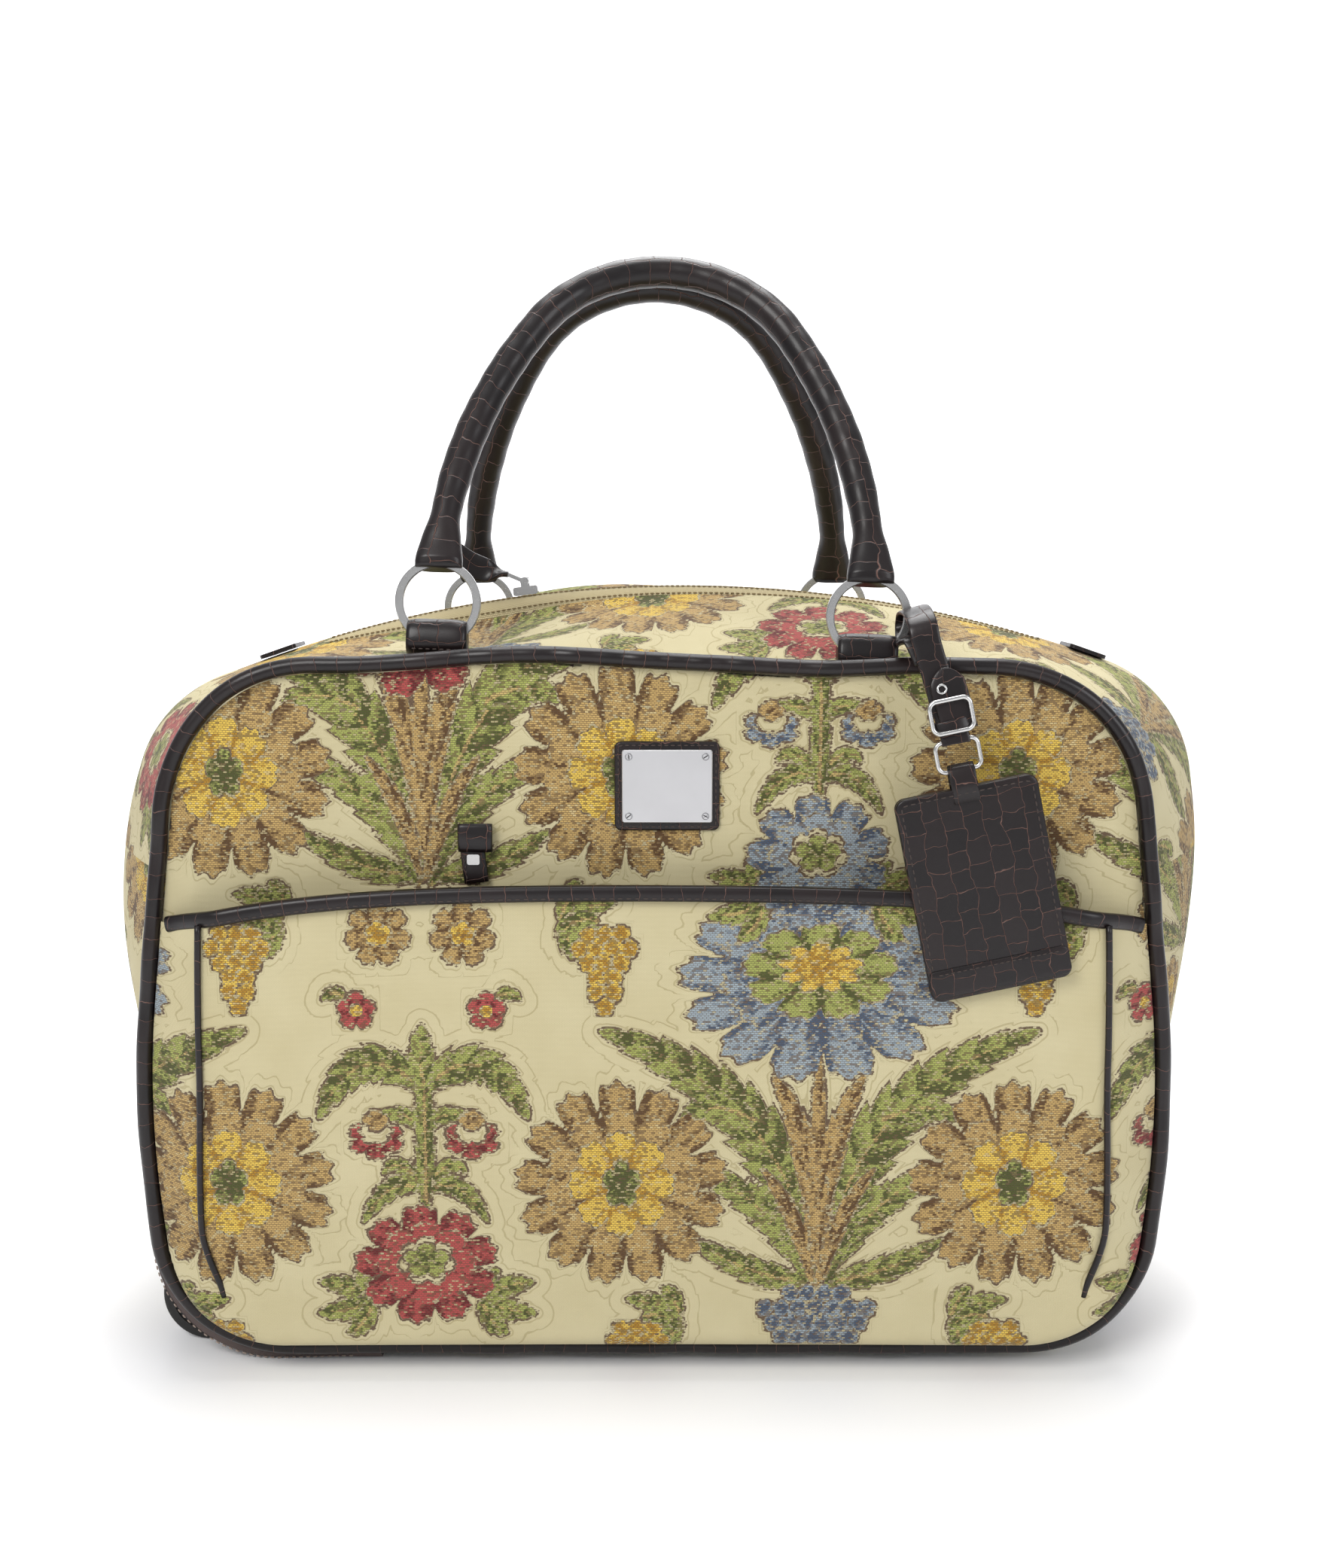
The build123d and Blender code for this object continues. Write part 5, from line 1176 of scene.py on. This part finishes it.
# ---- zip: two cream tapes, a closed coil along the crest and a slider with a leather pull ----
# The front tape leans forward with the slack cloth in front of it.
tape_cloth, tree, shader = finish_named("zip_tape_cloth", Roughness=0.85)
skin = put(tree, "ShaderNodeUVMap", {"uv_map": "skin"}).outputs["UV"]
tape_mm = put(tree, "ShaderNodeVectorMath", {"operation": "SCALE"}, Scale=1000.0)
tree.links.new(skin, tape_mm.inputs[0])
tape_weave = put(tree, "ShaderNodeGroup", {"node_tree": threads}, Cloth=tape_mm.outputs[0], Thread_Width=0.9,
                 Thread_Height=0.5).outputs
# Painted shade: the tape's cream is darkened in the gaps between its threads.
tree.links.new(tint(tree, tape_weave["Gap"], shade(196, 182, 142), shade(132, 118, 84)), shader.inputs["Base Color"])
bump(tree, shader, tape_weave["Height"], 0.00015)


def zip_place(s, y):
    """A point over the zip at arc length s from the crest, following the cloth beside it."""
    turn = s / crest_radius
    return crest_x + crest_radius * sin(turn), y, arc_z + crest_radius * cos(turn)


for side, (inner, outer) in {"front": (0.0092, -0.0040), "back": (0.0148, 0.0280)}.items():
    run = np.linspace(-0.212, 0.212, 180)
    parts = np.linspace(0, 1, 6)
    points, skins = [], []
    for s in run:
        for part in parts:
            x, y, z = zip_place(s, inner + (outer - inner) * part)
            turn = atan2(x, z - side_seam)
            cloth_z = gusset_point(np.array(turn), np.array(y))[1]
            points.append((x, y, z - 0.0008 - (z - float(cloth_z) + 0.0004) * part ** 1.3 if side == "front"
                           else z - 0.0012))
            skins.append((s, y))
    width = len(parts)
    faces = [(k * width + j, (k + 1) * width + j, (k + 1) * width + j + 1, k * width + j + 1)
             for k in range(len(run) - 1) for j in range(width - 1)]
    piece = mesh_piece(f"zip_tape_{side}_cloth", points, faces, "bag")
    layer = piece.data.uv_layers.new(name="skin")
    for loop in piece.data.loops:
        layer.data[loop.index].uv = skins[loop.vertex_index]
    piece.data.materials.append(tape_cloth)
    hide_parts(f"zip_tape_{side}")


def thread_finish(name, dark, light):
    """Twisted sewing thread."""
    made, tree, shader = finish_named(name, Roughness=0.8)
    twist = put(tree, "ShaderNodeTexWave", Scale=900.0, Distortion=1.0)
    tree.links.new(tint(tree, twist.outputs["Fac"], dark, light), shader.inputs["Base Color"])
    return made


tape_stitch = thread_finish("tape_stitch_thread", shade(92, 76, 50), shade(140, 122, 84))


def over_front_tape(s, part):
    """A point just above the front tape, part of the way from the coil to the gusset."""
    x, y, z = zip_place(s, 0.0092 - 0.0132 * part)
    cloth_z = float(gusset_point(np.array(atan2(x, z - side_seam)), np.array(y))[1])
    return x, y - 0.0003, z - 0.0003 - (z - cloth_z + 0.0004) * part ** 1.3


for row, part in (("hem", 0.80), ("coil", 0.22)):
    stitches(f"zip_tape_{row}_stitches", [over_front_tape(s, part) for s in np.linspace(-0.19, 0.19, 70)], "bag",
             0.0020, 0.0028, 0.00045, tape_stitch)
coil_nylon, tree, shader = finish_named("zip_coil_nylon", Roughness=0.45)
coil_place = put(tree, "ShaderNodeNewGeometry").outputs["Position"]
# A darker bronze coil, with painted shade between its turns and painted highlight in cream on each turn.
turns_of_coil = put(tree, "ShaderNodeTexWave", {"bands_direction": "X"}, Vector=coil_place, Scale=250.0)
tree.links.new(tint(tree, turns_of_coil.outputs["Fac"], shade(120, 104, 72), shade(196, 182, 142)),
               shader.inputs["Base Color"])
bump(tree, shader, turns_of_coil.outputs["Fac"], 0.0005)
finish_node("zip_coil", coil_nylon)

# ---- small leather parts that the frame shapes: zip ends and the zip pull ----
# They are cut from the same skin as the straps.
plain_leather, tree, shader = finish_named("cut_leather", Specular_IOR_Level=0.32, Coat_Weight=0.08,
                                           Coat_Roughness=0.2)
cut_place = put(tree, "ShaderNodeNewGeometry").outputs["Position"]
cut_mm = put(tree, "ShaderNodeVectorMath", {"operation": "SCALE"}, Scale=1000.0)
tree.links.new(cut_place, cut_mm.inputs[0])
cut_emboss = put(tree, "ShaderNodeGroup", {"node_tree": croc}, Skin=cut_mm.outputs[0], Plate_Length=10.0,
                 Plate_Width=12.0).outputs
tree.links.new(cut_emboss["Color"], shader.inputs["Base Color"])
tree.links.new(cut_emboss["Roughness"], shader.inputs["Roughness"])
bump(tree, shader, cut_emboss["Height"], 0.0003)
for name in ("zip_tab_left", "zip_tab_right"):
    finish_node(name, plain_leather)
pin = Vector((-0.068907, 0.012, 0.387721))
pull_run = Vector((-0.9228, 0, 0.3853))
pull_face = Vector((0.3853, 0, 0.9228))
pull_parts = np.linspace(0, 1, 22)
pull_start, pull_length, pull_bow = 0.0095, 0.0345, 0.0030
pull_path = [pin + pull_run * (pull_start + pull_length * t) - pull_face * pull_bow * sin(pi * t)
             for t in pull_parts]
pull_sides = [Vector((0, 1, 0)).lerp(pull_face, float(ramp(t, 0.0, 0.4))) for t in pull_parts]
pull = swept("zip_pull_leather", [tuple(p) for p in pull_path],
             lambda part: flat_ring(0.0085 + 0.0050 * float(ramp(part, 0.05, 0.45)), 0.0030), "zip_pull",
             flat_leather, side=[tuple(side) for side in pull_sides])
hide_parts("zip_pull")

# ---- wheels, guards, base and tow handle: moulded plastic, rubber and tube as the frame has them ----
# The guards are grey-brown with a fine spark texture; the rest is black.


def moulded_finish(name, dark, light, rough=0.5, grain_size=900.0, depth=0.00008):
    made, tree, shader = finish_named(name)
    place = put(tree, "ShaderNodeNewGeometry").outputs["Position"]
    spark = put(tree, "ShaderNodeTexNoise", Vector=place, Scale=grain_size, Detail=2.0)
    dust = put(tree, "ShaderNodeTexNoise", Vector=place, Scale=28.0, Detail=5.0)
    tree.links.new(tint(tree, dust.outputs["Fac"], dark, light), shader.inputs["Base Color"])
    tree.links.new(figure(tree, "MULTIPLY_ADD", dust.outputs["Fac"], 0.2, rough - 0.1), shader.inputs["Roughness"])
    bump(tree, shader, spark.outputs["Fac"], depth)
    return made


guard_plastic = moulded_finish("guard_plastic", shade(58, 46, 44), shade(88, 74, 70), 0.45)
black_plastic = moulded_finish("black_plastic", shade(22, 21, 21), shade(36, 34, 34), 0.42)
rubber = moulded_finish("tyre_rubber", shade(20, 20, 20), shade(40, 38, 36), 0.75, 500.0, 0.00015)
fibre_board = moulded_finish("base_board_fibre", shade(60, 50, 40), shade(80, 68, 54), 0.8)
for end in ("front", "back"):
    finish_node(f"wheel_guard_{end}", guard_plastic)
    finish_node(f"wheel_hub_{end}", black_plastic)
    finish_node(f"tyre_{end}", rubber)
for name in ("feet", "tow_bezel", "tow_button", "tow_clamp", "tow_grip"):
    finish_node(name, black_plastic)
finish_node("base_board", fibre_board)
pale_thread = thread_finish("pale_thread", shade(120, 104, 96), shade(170, 154, 142))
guard_edge = [(-0.2502, -0.0855, 0.058)]
guard_edge += [(-0.1898 - 0.0604 * cos(t), -0.0866, 0.061 - 0.0604 * sin(t)) for t in np.linspace(0.1, pi / 2, 24)]
guard_edge += [(-0.150, -0.0866, 0.0006 + 0.0012)]
stitches("guard_edge_stitches", guard_edge, "bag", 0.0022, 0.0036, 0.0004, pale_thread)
